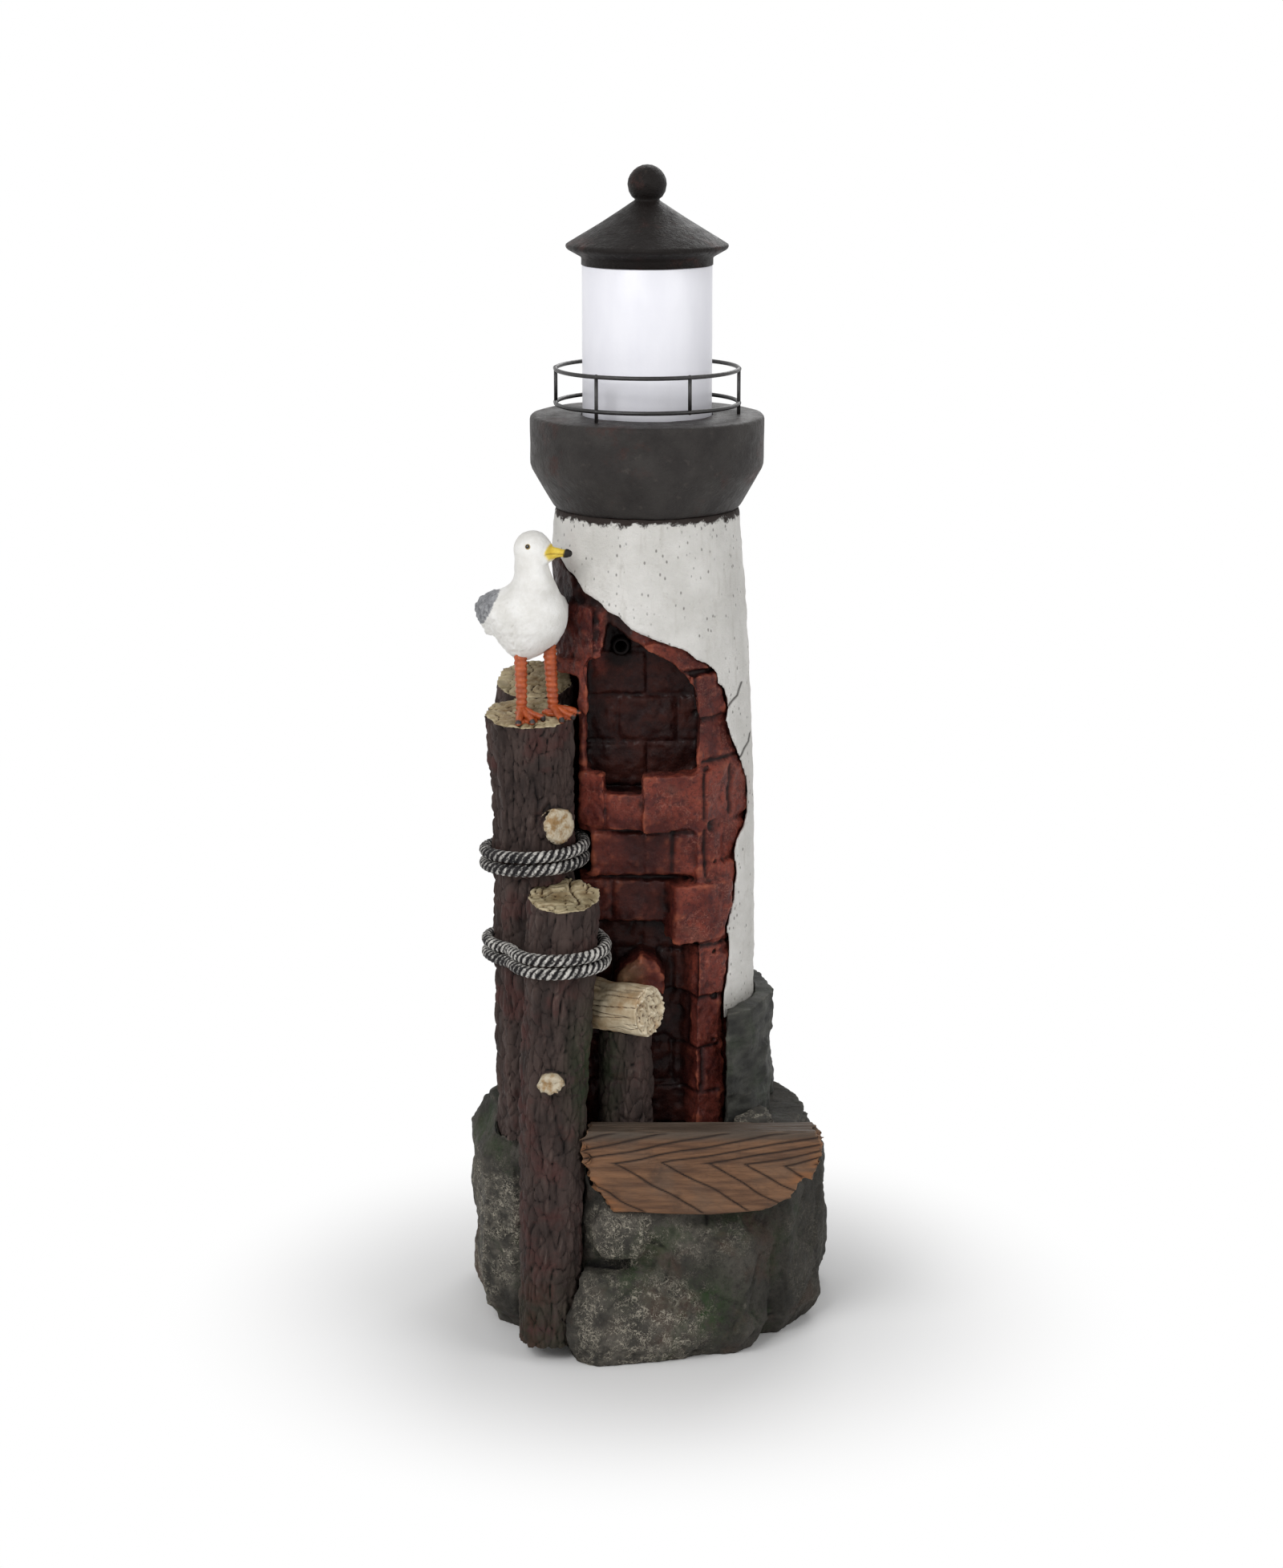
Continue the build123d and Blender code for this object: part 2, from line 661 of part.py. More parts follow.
# Rear door: a plate with a plug that fits the opening and a thumb notch in its top edge
with BuildPart() as access_door:
    with BuildSketch(Plane.XZ.offset(-tail_y)):
        with Locations((0, door_middle_z)):
            RectangleRounded(door_width + 2 * door_lap, door_high_z - door_low_z + 2 * door_lap, 6)
    extrude(amount=-door_plate)
    chamfer(access_door.faces().sort_by(Axis.Y)[-1].edges(), 1.5)
    with Locations((0, tail_y, door_middle_z)):
        Box(
            door_width - 2 * slide_gap, door_plug, door_high_z - door_low_z - 2 * slide_gap,
            align=(Align.CENTER, Align.MAX, Align.CENTER)
        )
    with Locations((0, tail_y - door_plug, door_middle_z)):
        Box(
            door_width - 12, door_plug, door_high_z - door_low_z - 12,
            align=(Align.CENTER, Align.MIN, Align.CENTER), mode=Mode.SUBTRACT
        )
    with Locations(Plane((0, tail_y + door_plate, door_high_z + door_lap), z_dir=(0, 1, 0)).location):
        Cylinder(9, 2 * 3.5, mode=Mode.SUBTRACT)
access_door.part.label = "access_door"
export_step(access_door.part, "parts/access_door.step")

with BuildPart() as cord_grommet:
    with BuildSketch(Plane.XZ.offset(-tail_y)):
        with Locations((inlet_x, inlet_z)):
            Circle(inlet_bore_r + 6)
    extrude(amount=-3)
    fillet(cord_grommet.faces().sort_by(Axis.Y)[-1].edges(), 1.2)
    with BuildSketch(Plane.XZ.offset(-tail_y)):
        with Locations((inlet_x, inlet_z)):
            Circle(inlet_bore_r + 3)
    extrude(amount=12)
    with Locations(Plane((inlet_x, tail_y, inlet_z), z_dir=(0, 1, 0)).location):
        Cylinder(inlet_bore_r, 60, mode=Mode.SUBTRACT)
cord_grommet.part.label = "cord_grommet"
export_step(cord_grommet.part, "parts/cord_grommet.step")

# Weir board: a split board with splintered ends
with BuildPart() as weir_board:
    with BuildSketch(Plane.XZ.offset(-board_front_y)):
        with BuildLine():
            Polyline(
                (board_left_x, board_top_z - 4), (board_left_x + 12, board_top_z),
                (board_right_x - 6, board_top_z), (board_right_x, board_top_z - 9),
                (board_right_x - 2, board_top_z - 26),
                (board_right_x - 9, board_top_z - 40), (board_right_x - 15, board_top_z - 37),
                (board_right_x - 24, board_low_z + 14), (board_right_x - 45, board_low_z + 4),
                (board_right_x - 88, board_low_z), (board_left_x + 34, board_low_z + 2),
                (board_left_x + 26, board_low_z + 14), (board_left_x + 17, board_low_z + 22),
                (board_left_x + 12, board_low_z + 40), (board_left_x + 3, board_low_z + 46), close=True
            )
        make_face()
    extrude(amount=-board_thick)
    chamfer(weir_board.faces().sort_by(Axis.Y)[0].edges(), 1.4)
    add(post_mid.part, mode=Mode.SUBTRACT)
weir_board.part.label = "weir_board"
export_step(weir_board.part, "parts/weir_board.step")


# Rock base: boulders round a hollow body with the reservoir
def boulder(x, y, width, depth, low_z, high_z, yaw, lean):
    """Boulder: a block that leans over a little, with all its edges and corners knocked off."""
    worn = boulder_wear * min(width, depth, high_z - low_z)
    with BuildPart() as rock:
        Box(width, depth, high_z - low_z)
        chamfer(rock.edges().filter_by(Axis.Z), worn)
        crown = rock.faces().sort_by(Axis.Z)[-1]
        chamfer(crown.edges(), 0.7 * worn, 1.3 * worn, reference=crown)
        foot = rock.faces().sort_by(Axis.Z)[0]
        chamfer(foot.edges(), 0.7 * worn, 1.1 * worn, reference=foot)
    return Pos(x, y, (low_z + high_z) / 2) * Rot(lean, 0, yaw) * rock.part


boulders = [
    boulder(-95, -22, 84, 108, -2, 190, 10, 11),
    boulder(-10, -94, 122, 78, -8, 71, 14, -5),
    boulder(44, -74, 100, 86, -8, 122, 10, -3),
    boulder(-21, -101, 50, 46, 82, 123, 16, -8),
    boulder(91, -28, 86, 104, -6, 164, -32, 2),
    boulder(107, 48, 78, 96, -6, 142, -9, -2),
    boulder(64, 90, 98, 62, -6, 146, 7, -3),
    boulder(-64, 88, 100, 64, -6, 158, -7, -3),
    boulder(-97, 60, 76, 90, -6, 156, 10, 2),
    boulder(82, -72, 50, 52, 120, 190, 18, 5),
]
drain_seat_y = 108.0
with BuildPart() as rock_base:
    with BuildSketch():
        Ellipse(base_half_x - base_draw_x, base_half_y - base_draw_y)
    with BuildSketch(Plane.XY.offset(deck_z)):
        Ellipse(base_half_x, base_half_y)
    loft()
    with BuildSketch():
        with Locations((0, tail_y / 2 + 4)):
            RectangleRounded(tail_width + 4, tail_y, 24)
    extrude(amount=deck_z)
    add(boulders)
    Box(500, 500, 50, align=(Align.CENTER, Align.CENTER, Align.MAX), mode=Mode.SUBTRACT)
    with Locations((0, 0, deck_z)):
        Cylinder(plinth_r + 2, 100, align=up, mode=Mode.SUBTRACT)
        Box(tail_width + 8, 200, 100, align=(Align.CENTER, Align.MIN, Align.MIN), mode=Mode.SUBTRACT)
    with BuildSketch(Plane.XY.offset(base_floor)):
        Ellipse(cavity_half_x, cavity_half_y)
    extrude(amount=cavity_top_z - base_floor, mode=Mode.SUBTRACT)
    with BuildSketch(Plane.XY.offset(cavity_top_z)):
        with Locations((34, -67)):
            RectangleRounded(52, 32, 8)
        with Locations((8, 40)):
            RectangleRounded(78, 60, 14)
    extrude(amount=60, mode=Mode.SUBTRACT)
    with Locations(Plane((0, drain_seat_y, drain_z), z_dir=(0, 1, 0)).location):
        Cylinder(drain_r + 5, 60, align=up, mode=Mode.SUBTRACT)
        Cylinder(drain_r + slide_gap, 120, mode=Mode.SUBTRACT)
    for piece in (post_mid, post_gull, post_rear, weir_board):
        add(piece.part, mode=Mode.SUBTRACT)
rock_base.part.label = "rock_base"
export_step(rock_base.part, "parts/rock_base.step")

with BuildPart() as drain_plug:
    with BuildSketch(Plane.YZ):
        with BuildLine():
            Polyline(
                (drain_seat_y - 14, drain_z), (drain_seat_y - 14, drain_z + drain_r - 2),
                (drain_seat_y - 12, drain_z + drain_r), (drain_seat_y, drain_z + drain_r),
                (drain_seat_y, drain_z + drain_r + 4), (drain_seat_y + 3, drain_z + drain_r + 4),
                (drain_seat_y + 4, drain_z + 4), (drain_seat_y + 9, drain_z + 4), (drain_seat_y + 9, drain_z),
                close=True
            )
        make_face()
    revolve(axis=Axis((0, 0, drain_z), (0, 1, 0)))
drain_plug.part.label = "drain_plug"
export_step(drain_plug.part, "parts/drain_plug.step")

# Gallery collar: a turned casting with the deck, the lens seat and a spigot in the tower
gallery_bore_r = tower_top_r - tower_wall - casting_gap
gallery_under_z = gallery_z - 15.0
lead_hole_r = 9.0
seat_r = lens_r + slide_gap
with BuildPart() as gallery_collar:
    with BuildSketch(Plane.XZ):
        with BuildLine():
            Polyline(
                (lead_hole_r, gallery_z - seat_depth), (seat_r, gallery_z - seat_depth), (seat_r, gallery_z),
                (gallery_r, gallery_z), (gallery_r, gallery_skirt_z), (tower_top_r + 0.5, tower_top_z),
                (gallery_bore_r, tower_top_z), (gallery_bore_r, tower_top_z - gallery_spigot),
                (gallery_bore_r - 5, tower_top_z - gallery_spigot),
                (gallery_bore_r - 5, gallery_under_z - 12), (gallery_bore_r - 17, gallery_under_z),
                (lead_hole_r, gallery_under_z), close=True
            )
        make_face()
    revolve(axis=Axis.Z)
    rounds = gallery_collar.edges().filter_by(GeomType.CIRCLE)
    fillet(rounds.filter_by(lambda edge: abs(edge.radius - gallery_r) < 0.01), gallery_edge)
    with PolarLocations(rail_r, rail_posts // 2, start_angle=rail_first_az - 90):
        with Locations((0, 0, gallery_z)):
            Hole(rail_upright_r + 0.3, rail_leg_depth + 1)
gallery_collar.part.label = "gallery_collar"
export_step(gallery_collar.part, "parts/gallery_collar.step")

# Railing: two wire rings and six uprights, every second one run down as a leg
with BuildPart() as gallery_railing:
    for ring_z in (rail_low_z, rail_high_z):
        with BuildSketch(Plane.XZ):
            with Locations((rail_r, ring_z)):
                RegularPolygon(rail_wire_r, 12)
        revolve(axis=Axis.Z)
    with PolarLocations(rail_r, rail_posts // 2, start_angle=rail_first_az - 90 + 180 / (rail_posts // 2)):
        with Locations((0, 0, (rail_low_z + rail_high_z) / 2)):
            Cylinder(rail_upright_r, rail_high_z - rail_low_z + rail_wire_r)
    with PolarLocations(rail_r, rail_posts // 2, start_angle=rail_first_az - 90):
        with Locations((0, 0, gallery_z - rail_leg_depth)):
            Cylinder(rail_upright_r, rail_high_z - gallery_z + rail_leg_depth + rail_wire_r / 2, align=up)
gallery_railing.part.label = "gallery_railing"
export_step(gallery_railing.part, "parts/gallery_railing.step")

# Lantern: seal, lens tube and the lamp inside it
seat_z = gallery_z - seat_depth
lens_low_z = seat_z + seal_height
with BuildPart() as lantern_seal:
    with BuildSketch(Plane.XY.offset(seat_z)):
        Circle(lens_r)
        Circle(lens_r - 6, mode=Mode.SUBTRACT)
    extrude(amount=seal_height)
lantern_seal.part.label = "lantern_seal"
export_step(lantern_seal.part, "parts/lantern_seal.step")

with BuildPart() as lantern_lens:
    with BuildSketch(Plane.XY.offset(lens_low_z)):
        Circle(lens_r)
        Circle(lens_r - lens_wall, mode=Mode.SUBTRACT)
    extrude(amount=lens_top_z - lens_low_z)
lantern_lens.part.label = "lantern_lens"
export_step(lantern_lens.part, "parts/lantern_lens.step")

holder_r = 34.0
holder_height = 14.0
holder_stem = 18.0
board_r = 27.0
with BuildPart() as lamp_holder:
    with BuildSketch(Plane.XZ):
        with BuildLine():
            Polyline(
                (4, seat_z - holder_stem), (lead_hole_r - 1, seat_z - holder_stem), (lead_hole_r - 1, seat_z),
                (holder_r, seat_z), (holder_r, seat_z + holder_height),
                (board_r + 0.5, seat_z + holder_height), (board_r + 0.5, seat_z + holder_height - 4),
                (4, seat_z + holder_height - 4), close=True
            )
        make_face()
    revolve(axis=Axis.Z)
    holder_edges = lamp_holder.edges().filter_by(GeomType.CIRCLE).group_by(SortBy.RADIUS)[-1]
    fillet(holder_edges.sort_by(Axis.Z)[-1], 1.5)
lamp_holder.part.label = "lamp_holder"
export_step(lamp_holder.part, "parts/lamp_holder.step")

lamp_z = seat_z + holder_height - 4
with BuildPart() as lamp_board:
    with BuildSketch(Plane.XY.offset(lamp_z)):
        Circle(board_r)
    extrude(amount=1.6)
lamp_board.part.label = "lamp_board"
export_step(lamp_board.part, "parts/lamp_board.step")

with BuildPart() as lamp_leds:
    with PolarLocations(16, 6):
        with Locations((0, 0, lamp_z + 1.6)):
            Cylinder(2.5, 5, align=up)
    fillet(lamp_leds.faces().sort_by(Axis.Z)[-6:].edges(), 2.2)
lamp_leds.part.label = "lamp_leds"
export_step(lamp_leds.part, "parts/lamp_leds.step")

# Roof cap: a turned shell with a ball finial, a skirt on the lens and a spigot inside it
spigot_r = lens_r - lens_wall - slide_gap
skirt_r = lens_r + 0.7
soffit_z = lens_top_z + roof_skirt
ball_foot_z = finial_z - math.sqrt(finial_r**2 - roof_neck_r**2)
with BuildPart() as roof_cap:
    with BuildSketch(Plane.XZ):
        with BuildLine():
            Polyline(
                (0, finial_z - 4), (0, ball_foot_z - 12), (spigot_r - 4, soffit_z + 4),
                (spigot_r - 4, lens_top_z - roof_spigot), (spigot_r, lens_top_z - roof_spigot),
                (spigot_r, lens_top_z), (skirt_r, lens_top_z), (skirt_r, soffit_z),
                (roof_eave_r - 1.5, roof_eave_z - 2.5)
            )
            ThreePointArc(
                (roof_eave_r - 1.5, roof_eave_z - 2.5), (roof_eave_r, roof_eave_z),
                (roof_eave_r - 2, roof_eave_z + 2.2)
            )
            ThreePointArc(
                (roof_eave_r - 2, roof_eave_z + 2.2),
                (roof_eave_r / 2 + 3.5, (roof_eave_z + ball_foot_z) / 2 + 2.4), (roof_neck_r, ball_foot_z)
            )
            ThreePointArc((roof_neck_r, ball_foot_z), (finial_r, finial_z), (0, finial_z + finial_r))
            Line((0, finial_z + finial_r), (0, finial_z - 4))
        make_face()
    revolve(axis=Axis.Z)
roof_cap.part.label = "roof_cap"
export_step(roof_cap.part, "parts/roof_cap.step")

# Gull: an egg body with a neck, a turned head, folded wings and a tail, on webbed feet
gull_yaw = -60.0
gull_place = Pos(-89.0, -65.0, 582.0) * Rot(0, 0, gull_yaw)
gull_length_front = 32.0
gull_length_back = 46.0
gull_girth_r = 29.5
gull_pitch = 37.0
head_at = (-86.0, -74.0, 634.0)
head_r = 14.5
beak_yaw = -14.0
beak_length = 30.0
with BuildPart() as gull_egg:
    with BuildSketch(Plane.XY):
        with BuildLine():
            EllipticalCenterArc((0, 0), gull_length_front, gull_girth_r, start_angle=0, arc_size=90)
            EllipticalCenterArc((0, 0), gull_length_back, gull_girth_r, start_angle=90, arc_size=90)
            Line((-gull_length_back, 0), (gull_length_front, 0))
        make_face()
    revolve(axis=Axis.X)
gull_egg_solid = gull_place * Rot(0, -gull_pitch, 0) * gull_egg.part

with BuildPart() as gull_wing:
    with BuildSketch(Plane.XZ):
        with BuildLine():
            Polyline((24, 6), (10, -12), (-30, -15), (-62, -5))
            ThreePointArc((-62, -5), (-15, 19), (24, 6))
        make_face()
    extrude(amount=7)
    fillet(gull_wing.faces().sort_by(Axis.Y)[0].edges(), 2.5)
wing_out = gull_girth_r - 4.5
wing_tip = gull_place * Rot(0, -gull_pitch - 4, 0)
wing_right = wing_tip * Pos(-9, -wing_out, 4) * Rot(6, 0, -7) * gull_wing.part
wing_left = wing_tip * Pos(-9, wing_out, 4) * Rot(-6, 0, 7) * mirror(gull_wing.part, about=Plane.XZ)

with BuildPart() as gull_tail:
    with BuildSketch(Plane.YZ.offset(-30)):
        RectangleRounded(26, 13, 4)
    with BuildSketch(Plane.YZ.offset(-66)):
        RectangleRounded(30, 4.4, 1.6)
    loft()
gull_tail_solid = gull_place * Rot(0, -gull_pitch + 6, 0) * gull_tail.part

neck_foot = (gull_place * Pos(15, 0, 18)).position
with BuildPart() as gull_body:
    add(gull_egg_solid)
    add(wing_right)
    add(wing_left)
    add(gull_tail_solid)
    with BuildSketch(Plane(neck_foot, z_dir=Vector(*head_at) - neck_foot)):
        Circle(21)
    with BuildSketch(Plane(head_at, z_dir=Vector(*head_at) - neck_foot)):
        Circle(head_r - 1.5)
    loft()
    with Locations(head_at):
        Sphere(head_r)
    beak_plane = Plane(
        Vector(*head_at) - Vector(0, 0, 1.5),
        z_dir=(math.cos(math.radians(beak_yaw)), math.sin(math.radians(beak_yaw)), -0.1),
    )
    with Locations(beak_plane.location):
        Cone(6.0, 1.8, beak_length, align=up)
gull_body.part.label = "gull_body"
export_step(gull_body.part, "parts/gull_body.step")

shank_low_r = 3.5
shank_high_r = 4.8
foot_thick = 2.6
web = [(-7, -2.5), (5, -4), (18, -12), (16, -4), (22, 0), (16, 4), (18, 12), (5, 4), (-7, 2.5)]
leg_stances = (((-96.0, -71.0, 566.0), (-95.0, -79.0), -62), ((-74.5, -69.0, 566.0), (-71.0, -74.0), -35))
with BuildPart() as gull_legs:
    for hip, foot_xy, yaw in leg_stances:
        sole_z = gull_cut[2] + (foot_xy[1] - gull_cut[1]) * math.tan(math.radians(perch_tilt))
        sole = Vector(foot_xy[0], foot_xy[1], sole_z)
        heading = (math.cos(math.radians(yaw)), math.sin(math.radians(yaw)), 0)
        with BuildSketch(Plane(sole, x_dir=Vector(*heading), z_dir=slant_normal(perch_tilt))):
            with BuildLine():
                Polyline(*web, close=True)
            make_face()
        extrude(amount=foot_thick)
        ankle = sole + Vector(0, 0, foot_thick / 2)
        with Locations(Plane(ankle, z_dir=Vector(*hip) - ankle).location):
            Cone(shank_low_r, shank_high_r, (Vector(*hip) - ankle).length, align=up)
    add(gull_body.part, mode=Mode.SUBTRACT)
gull_legs.part.label = "gull_legs"
export_step(gull_legs.part, "parts/gull_legs.step")

# Pump: a sealed block with a rotor well, an outlet, a slotted cover and a dial on it
pump_low_z = base_floor + pump_foot
pump_axis_z = pump_low_z + pump_height / 2
pump_front_y = riser_y - 8
chamber_depth = 14.0
well_depth = 28.0
nozzle_r = hose_bore_r - 0.1
nozzle_height = 20.0
shaft_r = 1.5
chamber_r = vane_r + 1.5
rotor_axis = Plane((spout_x, pump_front_y, pump_axis_z), x_dir=(1, 0, 0), z_dir=(0, 1, 0))
with BuildPart() as pump_housing:
    with BuildSketch(rotor_axis):
        RectangleRounded(pump_width, pump_height, 8)
    extrude(amount=pump_length)
    fillet(pump_housing.faces().sort_by(Axis.Y)[-1].edges(), 4)
    with Locations((spout_x, riser_y, pump_low_z + pump_height - 2)):
        Cylinder(nozzle_r, nozzle_height + 2, align=up)
    with Locations(rotor_axis.location):
        Cylinder(chamber_r, chamber_depth, align=up, mode=Mode.SUBTRACT)
        Cylinder(rotor_r + running_gap, chamber_depth + well_depth, align=up, mode=Mode.SUBTRACT)
        Cylinder(shaft_r + 0.05, chamber_depth + well_depth + 5, align=up, mode=Mode.SUBTRACT)
    with Locations((spout_x, riser_y, pump_axis_z)):
        Cylinder(4.2, 100, align=up, mode=Mode.SUBTRACT)
pump_housing.part.label = "pump_housing"
export_step(pump_housing.part, "parts/pump_housing.step")

with BuildPart() as impeller_shaft:
    with Locations((rotor_axis.offset(-3)).location):
        Cylinder(shaft_r, chamber_depth + well_depth + 8, align=up)
impeller_shaft.part.label = "impeller_shaft"
export_step(impeller_shaft.part, "parts/impeller_shaft.step")

vanes = 6
with BuildPart() as impeller:
    with Locations((rotor_axis.offset(2)).location):
        Cylinder(4.5, 11, align=up)
    with Locations((rotor_axis.offset(12)).location):
        Cylinder(vane_r - 2, 1.4, align=up)
    with Locations((rotor_axis.offset(13)).location):
        Cylinder(rotor_r, well_depth - 1, align=up)
    with BuildSketch(rotor_axis.offset(3)):
        with PolarLocations(0, vanes):
            with Locations((vane_r / 2 + 1.5, 0)):
                Rectangle(vane_r - 3, 1.6)
    extrude(amount=9.5)
    with Locations(rotor_axis.location):
        Cylinder(shaft_r + 0.35, 60, align=up, mode=Mode.SUBTRACT)
impeller.part.label = "impeller"
export_step(impeller.part, "parts/impeller.step")

cover_face = rotor_axis.offset(-cover_length)
with BuildPart() as pump_cover:
    with BuildSketch(cover_face):
        RectangleRounded(pump_width, pump_height, 8)
    extrude(amount=cover_length)
    fillet(pump_cover.faces().sort_by(Axis.Y)[0].edges(), 2)
    with BuildSketch(cover_face.offset(cover_wall)):
        RectangleRounded(pump_width - 2 * cover_wall, pump_height - 2 * cover_wall, 5.5)
    extrude(amount=cover_length, mode=Mode.SUBTRACT)
    with Locations(cover_face.location):
        Cylinder(4.2, cover_length - 1.5, align=up)
    with Locations((rotor_axis.offset(-3.4)).location):
        Cylinder(shaft_r + 0.15, 40, align=up, mode=Mode.SUBTRACT)
    with BuildSketch(cover_face):
        for side in (-1, 1):
            with Locations((side * 16.5, 0)):
                with GridLocations(1, 5.2, 1, 6):
                    SlotOverall(9, 2.4)
    extrude(amount=cover_wall, mode=Mode.SUBTRACT)
    with Locations(cover_face.location):
        Cylinder(2.0 + running_gap, 6, align=up, mode=Mode.SUBTRACT)
pump_cover.part.label = "pump_cover"
export_step(pump_cover.part, "parts/pump_cover.step")

with BuildPart() as flow_dial:
    with Locations((cover_face.offset(-4.3)).location):
        Cylinder(9, 4, align=up)
    with Locations((cover_face.offset(-8.3)).location):
        Box(14, 3, 4, align=up)
    with Locations((cover_face.offset(-1)).location):
        Cylinder(2.0, 6, align=up)
flow_dial.part.label = "flow_dial"
export_step(flow_dial.part, "parts/flow_dial.step")

with BuildPart() as suction_cups:
    with Locations((spout_x, pump_front_y + pump_length / 2, base_floor)):
        with GridLocations(28, 34, 2, 2):
            Cone(8, 3.2, pump_foot - 3, align=up)
    with Locations((spout_x, pump_front_y + pump_length / 2, base_floor + pump_foot - 4)):
        with GridLocations(28, 34, 2, 2):
            Cylinder(3.2, 4, align=up)
suction_cups.part.label = "suction_cups"
export_step(suction_cups.part, "parts/suction_cups.step")

# Water way: the riser from the pump to the spout in the niche, with a band on the outlet
riser_low_z = pump_low_z + pump_height + 1
with BuildPart() as riser_hose:
    with BuildLine():
        Line((spout_x, riser_y, riser_low_z), (spout_x, riser_y, spout_z - hose_bend_r))
        TangentArc(
            (spout_x, riser_y, spout_z - hose_bend_r), (spout_x, riser_y - hose_bend_r, spout_z),
            tangent=(0, 0, 1)
        )
        Line((spout_x, riser_y - hose_bend_r, spout_z), (spout_x, hollow_front_y + 1, spout_z))
    with BuildSketch(Plane((spout_x, riser_y, riser_low_z))):
        Circle(hose_r)
        Circle(hose_bore_r, mode=Mode.SUBTRACT)
    sweep()
riser_hose.part.label = "riser_hose"
export_step(riser_hose.part, "parts/riser_hose.step")

with BuildPart() as hose_clamp:
    with BuildSketch(Plane.XY.offset(riser_low_z + 5)):
        with Locations((spout_x, riser_y)):
            Circle(hose_r + 1.7)
        with Locations((spout_x, riser_y + hose_r + 5)):
            Rectangle(6, 9)
        with Locations((spout_x, riser_y)):
            Circle(hose_r + 0.1, mode=Mode.SUBTRACT)
        with Locations((spout_x, riser_y + hose_r + 5)):
            Rectangle(2.2, 14, mode=Mode.SUBTRACT)
    extrude(amount=8)
hose_clamp.part.label = "hose_clamp"
export_step(hose_clamp.part, "parts/hose_clamp.step")

with BuildPart() as spout:
    with Locations(Plane((spout_x, riser_y - hose_bend_r - 1, spout_z), z_dir=(0, -1, 0)).location):
        Cylinder(spout_r, riser_y - hose_bend_r - 1 - niche_back_y + spout_reach, align=up)
        Cylinder(spout_bore_r, 200, align=up, mode=Mode.SUBTRACT)
    chamfer(spout.edges().filter_by(GeomType.CIRCLE).sort_by(Axis.Y)[:1], 0.8)
spout.part.label = "spout"
export_step(spout.part, "parts/spout.step")
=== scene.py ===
import math

import bmesh
import bpy
from mathutils import Matrix, Vector, noise
from mathutils.kdtree import KDTree


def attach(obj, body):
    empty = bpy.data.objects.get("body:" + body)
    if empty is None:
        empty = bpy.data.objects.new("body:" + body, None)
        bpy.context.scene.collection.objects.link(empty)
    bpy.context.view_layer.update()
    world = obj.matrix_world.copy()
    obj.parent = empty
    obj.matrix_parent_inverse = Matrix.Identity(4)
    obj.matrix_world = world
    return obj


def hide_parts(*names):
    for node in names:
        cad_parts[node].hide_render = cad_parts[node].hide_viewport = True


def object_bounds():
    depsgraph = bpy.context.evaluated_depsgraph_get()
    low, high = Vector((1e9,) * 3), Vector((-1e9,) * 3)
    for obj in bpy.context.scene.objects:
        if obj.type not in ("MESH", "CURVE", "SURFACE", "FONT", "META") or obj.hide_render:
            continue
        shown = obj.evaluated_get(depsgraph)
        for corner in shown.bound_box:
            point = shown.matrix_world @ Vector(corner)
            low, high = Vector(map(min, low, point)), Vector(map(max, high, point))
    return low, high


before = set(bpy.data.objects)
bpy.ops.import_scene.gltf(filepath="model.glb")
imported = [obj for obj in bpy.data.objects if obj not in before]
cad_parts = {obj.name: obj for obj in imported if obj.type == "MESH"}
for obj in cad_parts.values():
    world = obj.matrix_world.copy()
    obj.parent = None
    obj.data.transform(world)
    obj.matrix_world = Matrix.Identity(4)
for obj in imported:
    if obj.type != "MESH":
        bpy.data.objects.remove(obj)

noise.seed_set(7)
cad_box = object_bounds()

# Rock base: a hollow cast base in the shape of piled boulders, painted dark grey, washed
# with moss green and rust, and dry-brushed pale on the high spots. It holds the water.


def object_of(name, shape):
    """Object in the scene, made of a bmesh that isn't needed any more."""
    made = bpy.data.objects.new(name, bpy.data.meshes.new(name))
    shape.to_mesh(made.data)
    shape.free()
    bpy.context.collection.objects.link(made)
    return made


def soften(skin, passes, points=None):
    """Rounds a skin, or some points of it, off a little with every pass."""
    for _ in range(passes):
        bmesh.ops.smooth_vert(
            skin, verts=points or skin.verts, factor=0.5, use_axis_x=True, use_axis_y=True, use_axis_z=True
        )


def skin_of(node, voxel, passes, hidden=None):
    """Even closed skin over a node's solid, softened, as a bmesh with fewer points where it is hidden."""
    solid = bmesh.new()
    solid.from_mesh(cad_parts[node].data)
    bmesh.ops.remove_doubles(solid, verts=solid.verts, dist=1e-6)
    blank = object_of(node + "_blank", solid)
    wrap = blank.modifiers.new("wrap", "REMESH")
    wrap.mode = "VOXEL"
    wrap.voxel_size = voxel
    wrapped = bpy.data.meshes.new_from_object(blank.evaluated_get(bpy.context.evaluated_depsgraph_get()))
    skin = bmesh.new()
    skin.from_mesh(wrapped)
    bpy.data.meshes.remove(wrapped)
    bpy.data.meshes.remove(blank.data)
    if hidden:
        bmesh.ops.unsubdivide(skin, verts=[v for v in skin.verts if hidden(v.co)], iterations=2)
    soften(skin, passes)
    return skin


def note_relief(skin, passes, reach, name="relief"):
    """Notes how far each point stands proud of the softened form, 0.5 where it is level with it."""
    relief = skin.verts.layers.float.new(name)
    soft = skin.copy()
    soften(soft, passes)
    skin.normal_update()
    for v, low in zip(skin.verts, soft.verts):
        v[relief] = 0.5 + (v.co - low.co).dot(v.normal) / reach
    soft.free()


def carve(skin, depth, passes=0, reach=1.0):
    """Moves every point along its normal by depth(point, normal). With passes, notes the relief too."""
    skin.normal_update()
    places = [v.co + v.normal * depth(v.co, v.normal) for v in skin.verts]
    for v, place in zip(skin.verts, places):
        v.co = place
    if passes:
        note_relief(skin, passes, reach)


def note(skin, **values):
    """Notes value(point, normal) on every point under each value's name, for the paint."""
    skin.normal_update()
    for name, value in values.items():
        layer = skin.verts.layers.float.new(name)
        for v in skin.verts:
            v[layer] = value(v.co, v.normal)


